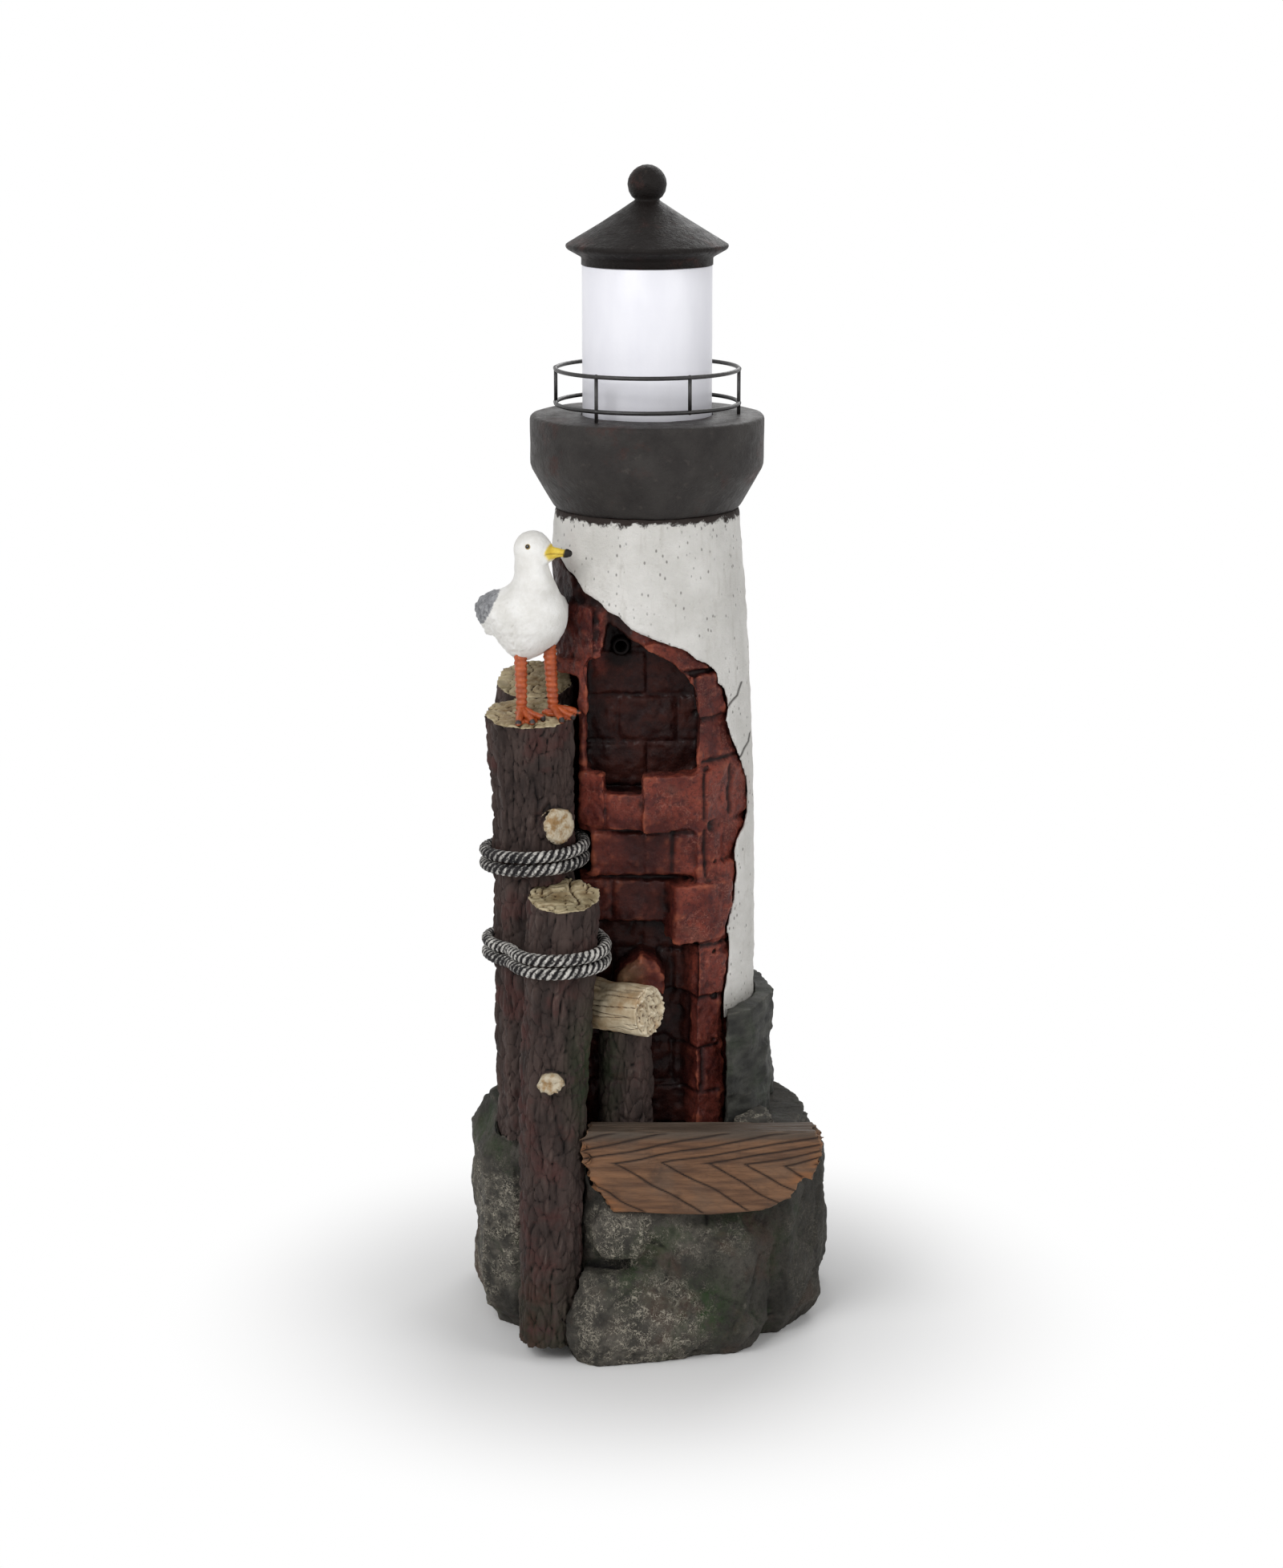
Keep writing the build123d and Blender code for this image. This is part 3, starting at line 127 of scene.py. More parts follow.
def set_in_place(name, shape, material, slot, *nodes, body="fountain"):
    """Makes a finished piece of a bmesh, in the room of its nodes and inside the part's own box."""
    low, high = cad_box
    for v in shape.verts:
        v.co = [min(max(c, a), b) for c, a, b in zip(v.co, low, high)]
    for face in shape.faces:
        face.smooth = True
    piece = object_of(name, shape)
    piece.data.materials.append(material)
    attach(piece, body)
    if nodes:
        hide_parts(*nodes)
    return piece


def fade(value, low, high):
    """0 below low, 1 above high, and eased between them."""
    share = min(max((value - low) / (high - low), 0.0), 1.0)
    return share * share * (3 - 2 * share)


def groove(value, width):
    """1 on the zero line of a value, falling off to both sides."""
    return math.exp(-(value / width) ** 2)


def paint(red, green, blue):
    """Colour of a paint chart, as a shader takes it."""
    return tuple(((c / 255 + 0.055) / 1.055) ** 2.4 for c in (red, green, blue)) + (1.0,)


class Stroke:
    """One value, place or colour of a finish. Sums on it add the nodes that work it out."""

    def __init__(self, tree, socket):
        self.tree = tree
        self.socket = socket

    def node(self, kind, settings, sockets, out=0):
        """Adds a node, sets it up, and fills or links its sockets."""
        made = self.tree.nodes.new(kind)
        for name, value in settings.items():
            setattr(made, name, value)
        for name, value in sockets.items():
            if isinstance(value, Stroke):
                self.tree.links.new(value.socket, made.inputs[name])
            else:
                made.inputs[name].default_value = value
        return Stroke(self.tree, made.outputs[out])

    def sum(self, operation, first, second):
        return self.node("ShaderNodeMath", {"operation": operation}, {0: first, 1: second})

    def __add__(self, other):
        return self.sum("ADD", self, other)

    def __sub__(self, other):
        return self.sum("SUBTRACT", self, other)

    def __rsub__(self, other):
        return self.sum("SUBTRACT", other, self)

    def __mul__(self, other):
        return self.sum("MULTIPLY", self, other)

    def between(self, low, high):
        """0 at low, 1 at high, eased and held outside."""
        return self.node(
            "ShaderNodeMapRange", {"interpolation_type": "SMOOTHSTEP"},
            {"Value": self, "From Min": low, "From Max": high},
        )

    def tint(self, under, over):
        """Colour under where this mask is 0 and over where it is 1."""
        under, over = [c if isinstance(c, Stroke) else paint(*c) for c in (under, over)]
        return self.node("ShaderNodeMix", {"data_type": "RGBA"}, {0: self, 6: under, 7: over}, 2)

    def coats(self, *layers):
        """This colour under coats of paint, each laid on where its mask says."""
        colour = self
        for mask, over in layers:
            colour = mask.tint(colour, over)
        return colour

    def stretched(self, x, y, z):
        """A place scaled along the axes."""
        return self.node("ShaderNodeVectorMath", {"operation": "MULTIPLY"}, {0: self, 1: (x, y, z)})

    def mottle(self, scale, detail=4.0, rough=0.6, warp=0.0):
        """Cloudy value at a place."""
        return self.node(
            "ShaderNodeTexNoise", {},
            {"Vector": self, "Scale": scale, "Detail": detail, "Roughness": rough, "Distortion": warp},
        )

    def cells(self, scale):
        """Distance to the nearest seed of a pattern of cells at a place."""
        return self.node("ShaderNodeTexVoronoi", {}, {"Vector": self, "Scale": scale})

    def patch(self, low, high, scale, detail=4.0, rough=0.6):
        """Mask of cloudy patches at a place: 0 below the low level of a cloudy value, 1 above the high."""
        return self.mottle(scale, detail, rough).between(low, high)

    def cloudy(self, scale, under, over, detail=4.0, rough=0.6):
        """Two colours that drift into each other."""
        return self.patch(0.3, 0.7, scale, detail, rough).tint(under, over)

    def worn(self, scale, spread, least):
        """Roughness that drifts between least and least + spread."""
        return self.patch(0.2, 0.8, scale) * spread + least

    def wires(self, scale, width):
        """Thin wandering lines: 1 along the middle level of a cloudy value."""
        level = self.mottle(scale, 2.0, 0.5, 0.7) - 0.5
        return 1 - (level * level).between(0.0, width * width)

    def along(self, axis):
        """One coordinate of a place."""
        return self.node("ShaderNodeSeparateXYZ", {}, {0: self}, "XYZ".index(axis))

    def length(self):
        """Distance of a place from the origin."""
        return self.node("ShaderNodeVectorMath", {"operation": "LENGTH"}, {0: self}, 1)

    def noted(self, name):
        """Value noted on the piece's own points."""
        return self.node("ShaderNodeAttribute", {"attribute_name": name}, {}, 2)


def new_finish(name):
    """Empty material and the place on the object that its pattern starts from."""
    material = bpy.data.materials.new(name)
    material.use_nodes = True
    tree = material.node_tree
    return material, Stroke(tree, tree.nodes.new("ShaderNodeTexCoord").outputs["Object"])


def lay_on(material, colour, roughness, height=None, depth=0.0, shine=0.5, fixed=None):
    """Feeds a finish to its shader: colour, roughness, fine height, strength of reflection, fixed values."""
    tree = material.node_tree
    sockets = tree.nodes["Principled BSDF"].inputs
    values = {"Base Color": colour, "Roughness": roughness, "Specular IOR Level": shine, **(fixed or {})}
    if height is not None:
        values["Normal"] = height.node("ShaderNodeBump", {}, {"Height": height, "Distance": depth})
    for name, value in values.items():
        if isinstance(value, Stroke):
            tree.links.new(value.socket, sockets[name])
        else:
            sockets[name].default_value = value


def rock_depth(place, normal):
    """Rough rock: broad hollows, a few creases, a wrinkled crust and a coarse grain."""
    broad = noise.fractal(place * 24, 0.9, 2.1, 3)
    near, second = noise.voronoi(place * 21)[0][:2]
    crease = groove(second - near, 0.07)
    crust = abs(noise.noise(place * 150 + noise.noise_vector(place * 60)))
    grain = noise.fractal(place * 230, 0.7, 2.2, 2)
    level = fade(abs(normal.z), 0.8, 0.97)
    rough = 0.0034 * (broad - 0.35) - 0.0014 * crease
    return rough * (1 - 0.85 * level) + 0.0011 * (crust - 0.25) + 0.0004 * grain


def crackled(place, normal):
    """Where the pale brush went: the low front boulder, the small stone, the outer ones and some rims."""
    stray = 0.03 * noise.noise(place * 20)
    front = fade(-place.y, 0.092, 0.112)
    low = front * fade(0.082 - place.z, 0.0, 0.03)
    low *= fade(place.x, -0.062, -0.045) * fade(0.062 - place.x, 0.0, 0.04)
    left = fade(-place.x + stray, 0.1, 0.122) * fade(0.175 + stray - place.z, 0.0, 0.06)
    left *= fade(0.06 + stray - place.y, 0.0, 0.05)
    rim = 0.6 * front * groove((place.z - 0.1) / 0.016, 1.0) * fade(place.x, 0.000, 0.015)
    right = 0.3 * fade(place.x + stray, 0.108, 0.128) * fade(0.13 + stray - place.z, 0.0, 0.05)
    stone = 1 - fade((place - Vector((-0.021, -0.108, 0.1))).length, 0.026, 0.034)
    shelf = 0.8 * fade(place.x, 0.052, 0.06) * fade(place.z, 0.172, 0.18) * fade(-place.y, 0.035, 0.05)
    return max(low, left, rim, right, stone, shelf)


def damp(place, normal):
    """Where moss grows at the front: under the small stone and beside the low boulder."""
    spots = ((-0.012, 0.074, 0.02), (0.046, 0.044, 0.026), (0.07, 0.12, 0.024))
    grown = max(groove(math.hypot(place.x - x, place.z - z), reach) for x, z, reach in spots)
    return grown * fade(-place.y, 0.05, 0.08)


def in_reservoir(place):
    """True on the inner walls of the base, which can't be seen."""
    floor_z, roof_z, half_x, half_y = 0.0125, 0.1535, 0.1045, 0.0865
    return floor_z < place.z < roof_z and (place.x / half_x) ** 2 + (place.y / half_y) ** 2 < 1.03


rock_skin = skin_of("rock_base", voxel=0.0021, passes=3, hidden=in_reservoir)
carve(rock_skin, rock_depth, passes=12, reach=0.005)
note_relief(rock_skin, 70, 0.024, "hollow")
note(rock_skin, crackle=crackled, damp=damp)

rock_finish, spot = new_finish("dry_brushed_rock")
rock_relief, rock_hollow, rock_brush = [spot.noted(name) for name in ("relief", "hollow", "crackle")]
rock_moss = spot.mottle(16, 6, 0.7) + (1 - rock_hollow.between(0.3, 0.52)) * 0.1
rock_moss = rock_moss.between(0.54, 0.68) * (1 - rock_relief.between(0.5, 0.8)) * 0.6
rock_moss = rock_moss + spot.noted("damp") * spot.patch(0.38, 0.58, 120, 5, 0.7) * 0.7
rock_lines = spot.wires(230, 0.034) + spot.wires(390, 0.04) * 0.8
rock_lines = (rock_lines * spot.patch(0.36, 0.62, 85)).between(0.05, 0.95)
rock_pale = rock_relief.between(0.55, 0.9) * 0.3 + rock_brush * spot.patch(0.4, 0.65, 240) * 0.45
rock_colour = spot.patch(0.35, 0.7, 30).tint((56, 54, 50), (88, 84, 78)).coats(
    (spot.patch(0.48, 0.66, 260, 5, 0.75) * 0.5, (38, 37, 35)),
    (spot.patch(0.52, 0.68, 19, 5) * 0.5, (84, 62, 52)),
    (rock_moss, (46, 62, 38)),
    # painted shade: the creases and low spots of the rock darken to near black
    (1 - rock_relief.between(0.1, 0.48), (24, 23, 22)),
    (rock_pale * spot.patch(0.36, 0.54, 42, 5), (116, 111, 101)),
    ((rock_brush * 0.8 + rock_relief.between(0.58, 0.85) * 0.25) * rock_lines, (172, 165, 150)),
    # painted shade: the right side of the base darkens towards its edge
    (spot.along("X").between(0.07, 0.115) * 0.4, (32, 32, 29)),
    # painted shade: the broad hollows between the boulders go almost black
    (1 - rock_hollow.between(0.22, 0.46), (16, 15, 15)),
)
rock_grain = spot.mottle(330, 6, 0.7) + rock_lines * 0.35
lay_on(rock_finish, rock_colour, spot.worn(60, 0.2, 0.55), rock_grain, 0.0012, 0.1)
set_in_place("base_boulders", rock_skin, rock_finish, "rock", "rock_base")

# Drain stopper, pump, rotor and riser: moulded black plastic, rubber, a ground ceramic pin and
# a spring-steel band. They are bought in and pushed together inside the base, out of sight.
moulded = {
    "black_plastic": ((30, 30, 32), 0.42, ["pump_housing", "pump_cover", "flow_dial", "lamp_holder"]),
    "matt_rubber": ((24, 24, 24), 0.7, ["drain_plug", "suction_cups", "lantern_seal", "cord_grommet"]),
    "hose_rubber": ((42, 42, 44), 0.5, ["riser_hose"]),
    "magnet_rotor": ((58, 58, 62), 0.45, ["impeller"]),
    "ground_ceramic": ((226, 226, 220), 0.25, ["impeller_shaft"]),
    "coated_board": ((214, 216, 210), 0.4, ["lamp_board"]),
    "clear_dome": ((244, 236, 206), 0.15, ["lamp_leds"]),
    # painted shade: the spout is painted nearly black, as dark as the shade at the top of the niche
    "shadow_black_spout": ((16, 9, 8), 0.85, ["spout"]),
}


def dress(node, material):
    """Gives a node that keeps its own shape its finish."""
    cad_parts[node].data.materials.clear()
    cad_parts[node].data.materials.append(material)


for finish_name, (shade, gloss, members) in moulded.items():
    moulding, spot = new_finish(finish_name)
    moulding_colour = spot.cloudy(90, [0.8 * c for c in shade], shade)
    speck = spot.mottle(420, 5)
    lay_on(moulding, moulding_colour, speck.between(0.2, 0.8) * 0.12 + (gloss - 0.06), speck, 0.0002, 0.25)
    for member in members:
        dress(member, moulding)

band_finish, spot = new_finish("spring_steel")
band_brush = spot.stretched(1, 1, 24).mottle(160, 3)
band_colour = band_brush.between(0.3, 0.7).tint((120, 120, 122), (172, 172, 174))
lay_on(band_finish, band_colour, band_brush * 0.2 + 0.22, band_brush, 0.0001, fixed={"Metallic": 1.0})
dress("hose_clamp", band_finish)

# Plinth: laid stones cast as one ring behind the tower, with a flared block and its door at
# the back. Painted a dark green-grey, chipped along the arrises; the door pulls out.
def plinth_depth(place, normal):
    """Split stone: shelves across the faces and chipped edges."""
    shelf = noise.fractal(Vector((place.x * 40, place.y * 40, place.z * 150)), 0.8, 2.1, 3)
    lump = noise.fractal(place * 42, 0.9, 2.0, 2)
    return 0.0012 * (shelf - 0.3) + 0.0016 * (lump - 0.2)


plinth_finish, spot = new_finish("plinth_stone")
plinth_relief = spot.noted("relief")
plinth_grey = spot.stretched(1, 1, 2.4).patch(0.35, 0.68, 40, 5)
plinth_colour = plinth_grey.tint((48, 48, 46), (74, 74, 69)).coats(
    (spot.patch(0.52, 0.66, 22, 5) * 0.4, (52, 64, 46)),
    # painted shade in the crevices and low spots of the stones
    (1 - plinth_relief.between(0.1, 0.5), (26, 25, 25)),
    (plinth_relief.between(0.55, 0.9) * spot.patch(0.35, 0.65, 90) * 0.7, (116, 113, 104)),
)
lay_on(plinth_finish, plinth_colour, spot.worn(70, 0.18, 0.5), spot.mottle(300, 6, 0.7), 0.0012, 0.1)
for node, name, body, voxel, passes, share in (
    ("tower_plinth", "plinth_stones", "fountain", 0.0019, 2, 1.0),
    ("access_door", "plinth_door", "door", 0.0014, 1, 0.25),
):
    plinth_skin = skin_of(node, voxel, passes)
    carve(plinth_skin, lambda p, n: share * plinth_depth(p, n), passes=10, reach=0.0042)
    set_in_place(name, plinth_skin, plinth_finish, "plinth_stone", node, body=body)

# Brickwork: the core that shows where the wall has broken away, with a niche for the spout, a
# catch pool and stepped courses under it. One casting, painted in brick reds and always wet.
brick_back_y = -0.013
brick_joints = [
    [(0.0235, 0.5375), (0.0515, 0.5385)], [(0.036, 0.5), (0.06, 0.502)], [(0.043, 0.468), (0.07, 0.469)],
    [(0.0367, 0.538), (0.0372, 0.505)], [(0.0443, 0.461), (0.044, 0.424)], [(0.064, 0.461), (0.0638, 0.424)],
    [(0.0194, 0.415), (0.019, 0.382)], [(0.0447, 0.415), (0.045, 0.379)], [(0.0387, 0.322), (0.038, 0.283)],
    [(0.03, 0.324), (0.064, 0.323)], [(0.016, 0.282), (0.058, 0.281)], [(0.0307, 0.281), (0.031, 0.241)],
    [(0.0032, 0.24), (0.056, 0.241)], [(0.044, 0.24), (0.043, 0.205)], [(0.003, 0.204), (0.056, 0.205)],
]


def line_gap(place, lines):
    """Distance to the nearest of some lines drawn on the front."""
    seen_at = Vector((place.x, place.z))
    gaps = []
    for line in lines:
        for start, end in zip(line, line[1:]):
            a, b = Vector(start), Vector(end)
            share = min(max((seen_at - a).dot(b - a) / (b - a).length_squared, 0.0), 1.0)
            gaps.append((seen_at - a - (b - a) * share).length)
    return min(gaps)


def brick_joint(place, normal):
    """1 along the joints of the flank."""
    return groove(line_gap(place, brick_joints), 0.0016) * fade(-normal.y, 0.0, 0.3)


def brick_depth(place, normal):
    """Old brick: uneven courses, soft pits, chips, joints and a rough fired face."""
    lay = noise.noise(place * 21)
    pit = noise.fractal(place * 60, 0.9, 2.1, 3)
    face = noise.fractal(place * 170, 0.8, 2.2, 2)
    chip = fade(noise.noise(place * 40), 0.25, 0.6)
    joint = brick_joint(place, normal)
    return 0.0014 * lay + 0.0016 * (pit - 0.3) + 0.0008 * face - 0.0012 * chip - 0.0018 * joint


def brick_lit(place, normal):
    """1 on the upper bricks at the far left, which stay out of the painted shade of the niche."""
    return fade(-place.x, 0.028, 0.036) * fade(place.z, 0.526, 0.536)


def brick_shade(place, normal):
    """1 on the painted shadow beside those bricks, under the broken edge of the wall, and at the top of the
    break.
    """
    strip = groove((place.x + 0.021) / 0.013, 1.0) * fade(place.z, 0.526, 0.545)
    return max(strip, fade(place.z, 0.58, 0.592))


def brick_wash(place, normal):
    """Where the red is darker: under the catch pool on the left, which is painted shade under its ledge, and
    on all the courses further down.
    """
    under_pool = (1 - fade(place.z, 0.424, 0.436)) * fade(0.034 - place.x, 0.0, 0.02)
    return max(under_pool, 0.9 * (1 - fade(place.z, 0.27, 0.3)))


def brick_wedge(place, normal):
    """1 on the small block above the log, which is painted tan."""
    height = groove((place.z - 0.304) / 0.016, 1.0)
    return fade(-place.y, 0.078, 0.083) * height * fade(0.004 - place.x, 0.0, 0.02)


brick_skin = skin_of("brick_cascade", voxel=0.0016, passes=2, hidden=lambda p: p.y > brick_back_y)
note(brick_skin, joint=brick_joint)
carve(brick_skin, brick_depth, passes=18, reach=0.0038)
note_relief(brick_skin, 70, 0.02, "hollow")
note(brick_skin, lit=brick_lit, shade=brick_shade, wash=brick_wash, wedge=brick_wedge)

brick_finish, spot = new_finish("wet_brick")
brick_relief = spot.noted("relief")
brick_fleck = spot.wires(230, 0.03) * spot.patch(0.42, 0.6, 60) * 0.4
# worn edges and painted highlight: the raised parts of the bricks turn orange
brick_wear_and_highlight = brick_relief.between(0.54, 0.88) * spot.patch(0.3, 0.65, 85)
brick_out = spot.stretched(1, 1, 0).length()
# painted shade: bricks deep in the niche go dark red-black, with a greyish painted sheen in patches
brick_niche_shade = 1 - (brick_out + spot.mottle(34, 5) * 0.024).between(0.066, 0.094)
brick_niche_shade_colour = spot.patch(0.42, 0.66, 48, 5).tint((22, 10, 10), (50, 23, 18))
brick_niche_shade_colour = (spot.patch(0.55, 0.7, 95, 5) * 0.5).tint(brick_niche_shade_colour, (58, 46, 46))
# painted shadow under the broken edge of the wall, nearly black
brick_painted_shadow = spot.noted("shade") + (spot.mottle(70) - 0.5) * 0.5
brick_colour = spot.patch(0.38, 0.62, 26, 3).tint((86, 38, 33), (126, 60, 48)).coats(
    (spot.patch(0.5, 0.72, 75, 5) * 0.6, (68, 28, 26)),
    (spot.patch(0.56, 0.7, 34, 6) * 0.5, (100, 64, 54)),
    (spot.patch(0.47, 0.63, 130, 6, 0.7) * 0.55, (62, 36, 38)),
    (spot.patch(0.5, 0.64, 330, 4, 0.75) * 0.55, (46, 24, 25)),
    (brick_fleck, (156, 104, 90)),
    # painted shade under the ledge of the catch pool; lower down the red is simply darker
    (spot.noted("wash") * spot.patch(0.2, 0.55, 30) * 0.75, (58, 19, 16)),
    (brick_wear_and_highlight * 0.7, (160, 88, 64)),
    (brick_niche_shade * (1 - spot.noted("lit")) * 0.9, brick_niche_shade_colour),
    (spot.noted("wedge") * 0.75, spot.cloudy(110, (94, 72, 52), (130, 104, 78), 5)),
    (brick_painted_shadow.between(0.3, 0.8) * 0.85, (14, 7, 7)),
    (spot.noted("joint") * 0.85, (26, 10, 10)),
    # painted shade in the low spots and joints of the bricks
    ((1 - brick_relief.between(0.1, 0.48)) * 0.92, (22, 8, 8)),
    # painted shade: the deep recesses of the brickwork go almost black
    ((1 - spot.noted("hollow").between(0.24, 0.5)) * 0.9, (16, 7, 7)),
)
lay_on(
    brick_finish, brick_colour, spot.patch(0.3, 0.7, 48) * 0.3 + 0.28,
    spot.mottle(210, 6, 0.65), 0.0014, 0.1, {"Coat Weight": 0.07, "Coat Roughness": 0.14},
)
set_in_place("brickwork", brick_skin, brick_finish, "brick", "brick_cascade")

# Tower wall: a slender white wall, rendered by hand over the casting, grimy, cracked in two
# places and broken open at the front. Its edge shows the brick paint of the core.
crack_lines = [
    [(0.0727, 0.5235), (0.0706, 0.519), (0.0693, 0.515), (0.0655, 0.5122), (0.0615, 0.508)],
    [(0.08, 0.4805), (0.0786, 0.475), (0.075, 0.4712), (0.0728, 0.4675), (0.069, 0.464)],
]
wall_foot_r, wall_top_r, wall_taper_z, wall_top_z = 0.085, 0.071, 0.335, 0.656


def wall_radius(z):
    """Radius of the plain wall at a height."""
    rise, lean = max(0.0, z - wall_taper_z), wall_foot_r - wall_top_r
    bend = ((wall_top_z - wall_taper_z) ** 2 + lean**2) / (2 * lean)
    return wall_foot_r - (bend - math.sqrt(bend**2 - rise**2))


def crack_gap(place):
    """Distance to the nearest crack, seen from the front."""
    return line_gap(place, crack_lines) if place.y < 0 else 1.0


def stucco_depth(place, normal):
    """Hand-laid render: trowel marks, grit and the two cracks."""
    trowel = noise.fractal(Vector((place.x * 45, place.y * 45, place.z * 70)), 0.9, 2.0, 3)
    grit = noise.fractal(place * 230, 0.7, 2.1, 2)
    return 0.0007 * (trowel - 0.3) + 0.0003 * grit - 0.0014 * groove(crack_gap(place), 0.0009)


stucco_skin = skin_of("tower_shell", voxel=0.002, passes=2)
near_cracks = [e for e in stucco_skin.edges if crack_gap(e.verts[0].co) < 0.005]
bmesh.ops.subdivide_edges(stucco_skin, edges=near_cracks, cuts=3, use_grid_fill=True)
carve(stucco_skin, stucco_depth, passes=8, reach=0.0026)
note(
    stucco_skin, crack=lambda p, n: groove(crack_gap(p), 0.0008),
    inside=lambda p, n: fade(wall_radius(p.z) - math.hypot(p.x, p.y), 0.0016, 0.0038),
)

stucco_finish, spot = new_finish("weathered_stucco")
stucco_z = spot.along("Z")
stucco_dirt = spot.patch(0.55, 0.74, 17, 7, 0.72) * spot.patch(0.42, 0.62, 150)
stucco_speck = 1 - spot.stretched(1, 1, 0.6).cells(230).between(0.1, 0.24)
stucco_speck = stucco_speck * spot.patch(0.44, 0.56, 55, 3)
stucco_ragged = stucco_z + spot.mottle(120, 5, 0.7) * 0.02
stucco_foot = 1 - (stucco_z + spot.mottle(90, 5) * 0.016).between(0.274, 0.296)
stucco_colour = spot.cloudy(26, (220, 218, 213), (237, 235, 231), 5).coats(
    (spot.patch(0.54, 0.7, 13) * 0.4, (190, 178, 172)),
    (stucco_dirt * 0.55, (158, 150, 138)),
    (spot.stretched(1, 1, 0.16).patch(0.56, 0.74, 130, 5) * 0.35, (186, 181, 172)),
    (stucco_speck * 0.7, (96, 90, 84)),
    # painted shade in the low spots of the render
    ((1 - spot.noted("relief").between(0.15, 0.5)) * 0.55, (150, 143, 134)),
    (stucco_ragged.between(wall_top_z + 0.0035, wall_top_z + 0.0065), (52, 45, 42)),
    (stucco_foot * 0.5, (140, 136, 126)),
    (spot.noted("crack") * 0.9, (48, 43, 40)),
    ((spot.noted("inside") + spot.mottle(190) * 0.5).between(0.55, 0.8), (104, 44, 34)),
)
stucco_grit = spot.mottle(420, 6, 0.7) + stucco_speck * -0.2
lay_on(stucco_finish, stucco_colour, spot.worn(80, 0.15, 0.7), stucco_grit, 0.0019, 0.2)
set_in_place("stucco_wall", stucco_skin, stucco_finish, "stucco", "tower_shell")

# Mooring posts: four bark-covered piles, cast one by one with their sawn heads, two of them with
# a sawn stub. Dark brown with purple patches and some moss, painted shade in the furrows and
# painted highlights on the ridges; the sawn wood is cream, with painted shade in its splits.
post_heads = {
    "post_mid": ((-0.062, -0.104, 0.374), 13),
    "post_gull": ((-0.09, -0.07, 0.508), 8),
    "post_rear": ((-0.087, -0.008, 0.522), 17),
    "post_short": ((-0.017, -0.0715, 0.272), 0),
}
stub_ends = [
    ((-0.073, -0.13, 0.2312), (-0.12, -0.75, 0.65), 0.0075),
    ((-0.0689, -0.0939, 0.4255), (0.62, -0.78, 0.1), 0.011),
]


def saw_face(place, normal, head):
    """1 on the sawn head of a post, where one is named, and on the end of a stub, 0 on the bark."""
    sawn = 0.0
    if head:
        at, tilt = post_heads[head]
        cut = Vector((0, -math.sin(math.radians(tilt)), math.cos(math.radians(tilt))))
        sawn = fade((place - Vector(at)).dot(cut), -0.0022, -0.0008) * fade(normal.dot(cut), 0.35, 0.75)
    for end, way, radius in stub_ends:
        reach = place - Vector(end)
        facing = fade(normal.dot(Vector(way).normalized()), 0.4, 0.7)
        sawn = max(sawn, facing * (1 - fade(reach.length, radius, radius + 0.004)))
    return sawn


def bark_depth(place, normal, head):
    """Bark: rough scales on long plates, a few furrows, fine wrinkles. The sawn head is split open."""
    sawn = saw_face(place, normal, head)
    tall = Vector((place.x, place.y, place.z * 0.22))
    sway = noise.noise_vector(place * 26) * 0.3
    furrow = groove(noise.noise(tall * 100 + sway), 0.07)
    wrinkle = abs(noise.noise(Vector((place.x, place.y, place.z * 0.26)) * 260 + sway))
    grain = noise.fractal(Vector((place.x, place.y, place.z * 0.4)) * 420, 0.8, 2.0, 2)
    plate = noise.fractal(tall * 55, 0.9, 2.0, 2)
    split = groove(noise.noise(place * 130), 0.09)
    split += 1.6 * groove(noise.noise(place * 60 + Vector((3, 1, 2))), 0.07)
    near, second = noise.voronoi(Vector((place.x, place.y, place.z * 0.5)) * 125 + sway)[0][:2]
    scale = 0.0022 * (0.4 - near) - 0.0012 * groove(second - near, 0.1)
    bark = 0.0012 * plate - 0.0014 * furrow + scale + 0.0011 * (wrinkle - 0.25) + 0.0005 * grain
    stub = saw_face(place, normal, "")
    split_depth = (0.0022 if head == "post_mid" else 0.0012) * (1 - 0.85 * stub)
    return (1 - sawn) * bark - sawn * split_depth * split + 0.006 * stub


bark_finish, spot = new_finish("painted_bark")
bark_relief = spot.noted("relief")
bark_tall = spot.stretched(1, 1, 0.25)
bark_knot = spot.patch(0.35, 0.6, 150, 5, 0.7).tint((150, 112, 66), (206, 196, 176))
bark_sawn = spot.cloudy(60, (130, 108, 76), (196, 182, 148), 6, 0.7).coats(
    (spot.patch(0.45, 0.65, 24) * 0.6, (118, 110, 84)),
    # painted shade in the splits of the sawn wood
    (1 - bark_relief.between(0.2, 0.48), (66, 48, 32)),
    # painted highlight on the raised sawn wood
    (bark_relief.between(0.55, 0.85) * 0.6, (222, 208, 176)),
    (spot.noted("knot") * 0.75, bark_knot),
)
bark_colour = bark_tall.cloudy(80, (46, 38, 36), (76, 63, 59), 5).coats(
    (spot.patch(0.5, 0.66, 26, 5) * 0.6, (80, 48, 45)),
    # painted shade in the furrows of the bark
    (1 - bark_relief.between(0.1, 0.48), (20, 16, 16)),
    # painted highlight on the ridges of the bark
    (bark_relief.between(0.55, 0.95) * bark_tall.patch(0.42, 0.66, 190) * 0.6, (122, 106, 98)),
    (spot.noted("mossy") * spot.patch(0.34, 0.54, 90, 6, 0.7) * 0.85, (40, 56, 34)),
    ((spot.noted("sawn") + (spot.mottle(160) - 0.5) * 0.5).between(0.35, 0.6), bark_sawn),
)
lay_on(bark_finish, bark_colour, spot.worn(90, 0.2, 0.5), bark_tall.mottle(420, 6, 0.7), 0.0012, 0.12)


def mossy(place, normal):
    """Moss sits between the middle and the short post, and low on the posts."""
    between_posts = groove((place.x + 0.041) / 0.017, 1.0) * groove((place.z - 0.235) / 0.048, 1.0)
    low = 0.35 * fade(0.1 - place.z, 0.0, 0.08)
    return max(between_posts * fade(-place.y, 0.07, 0.09), low)


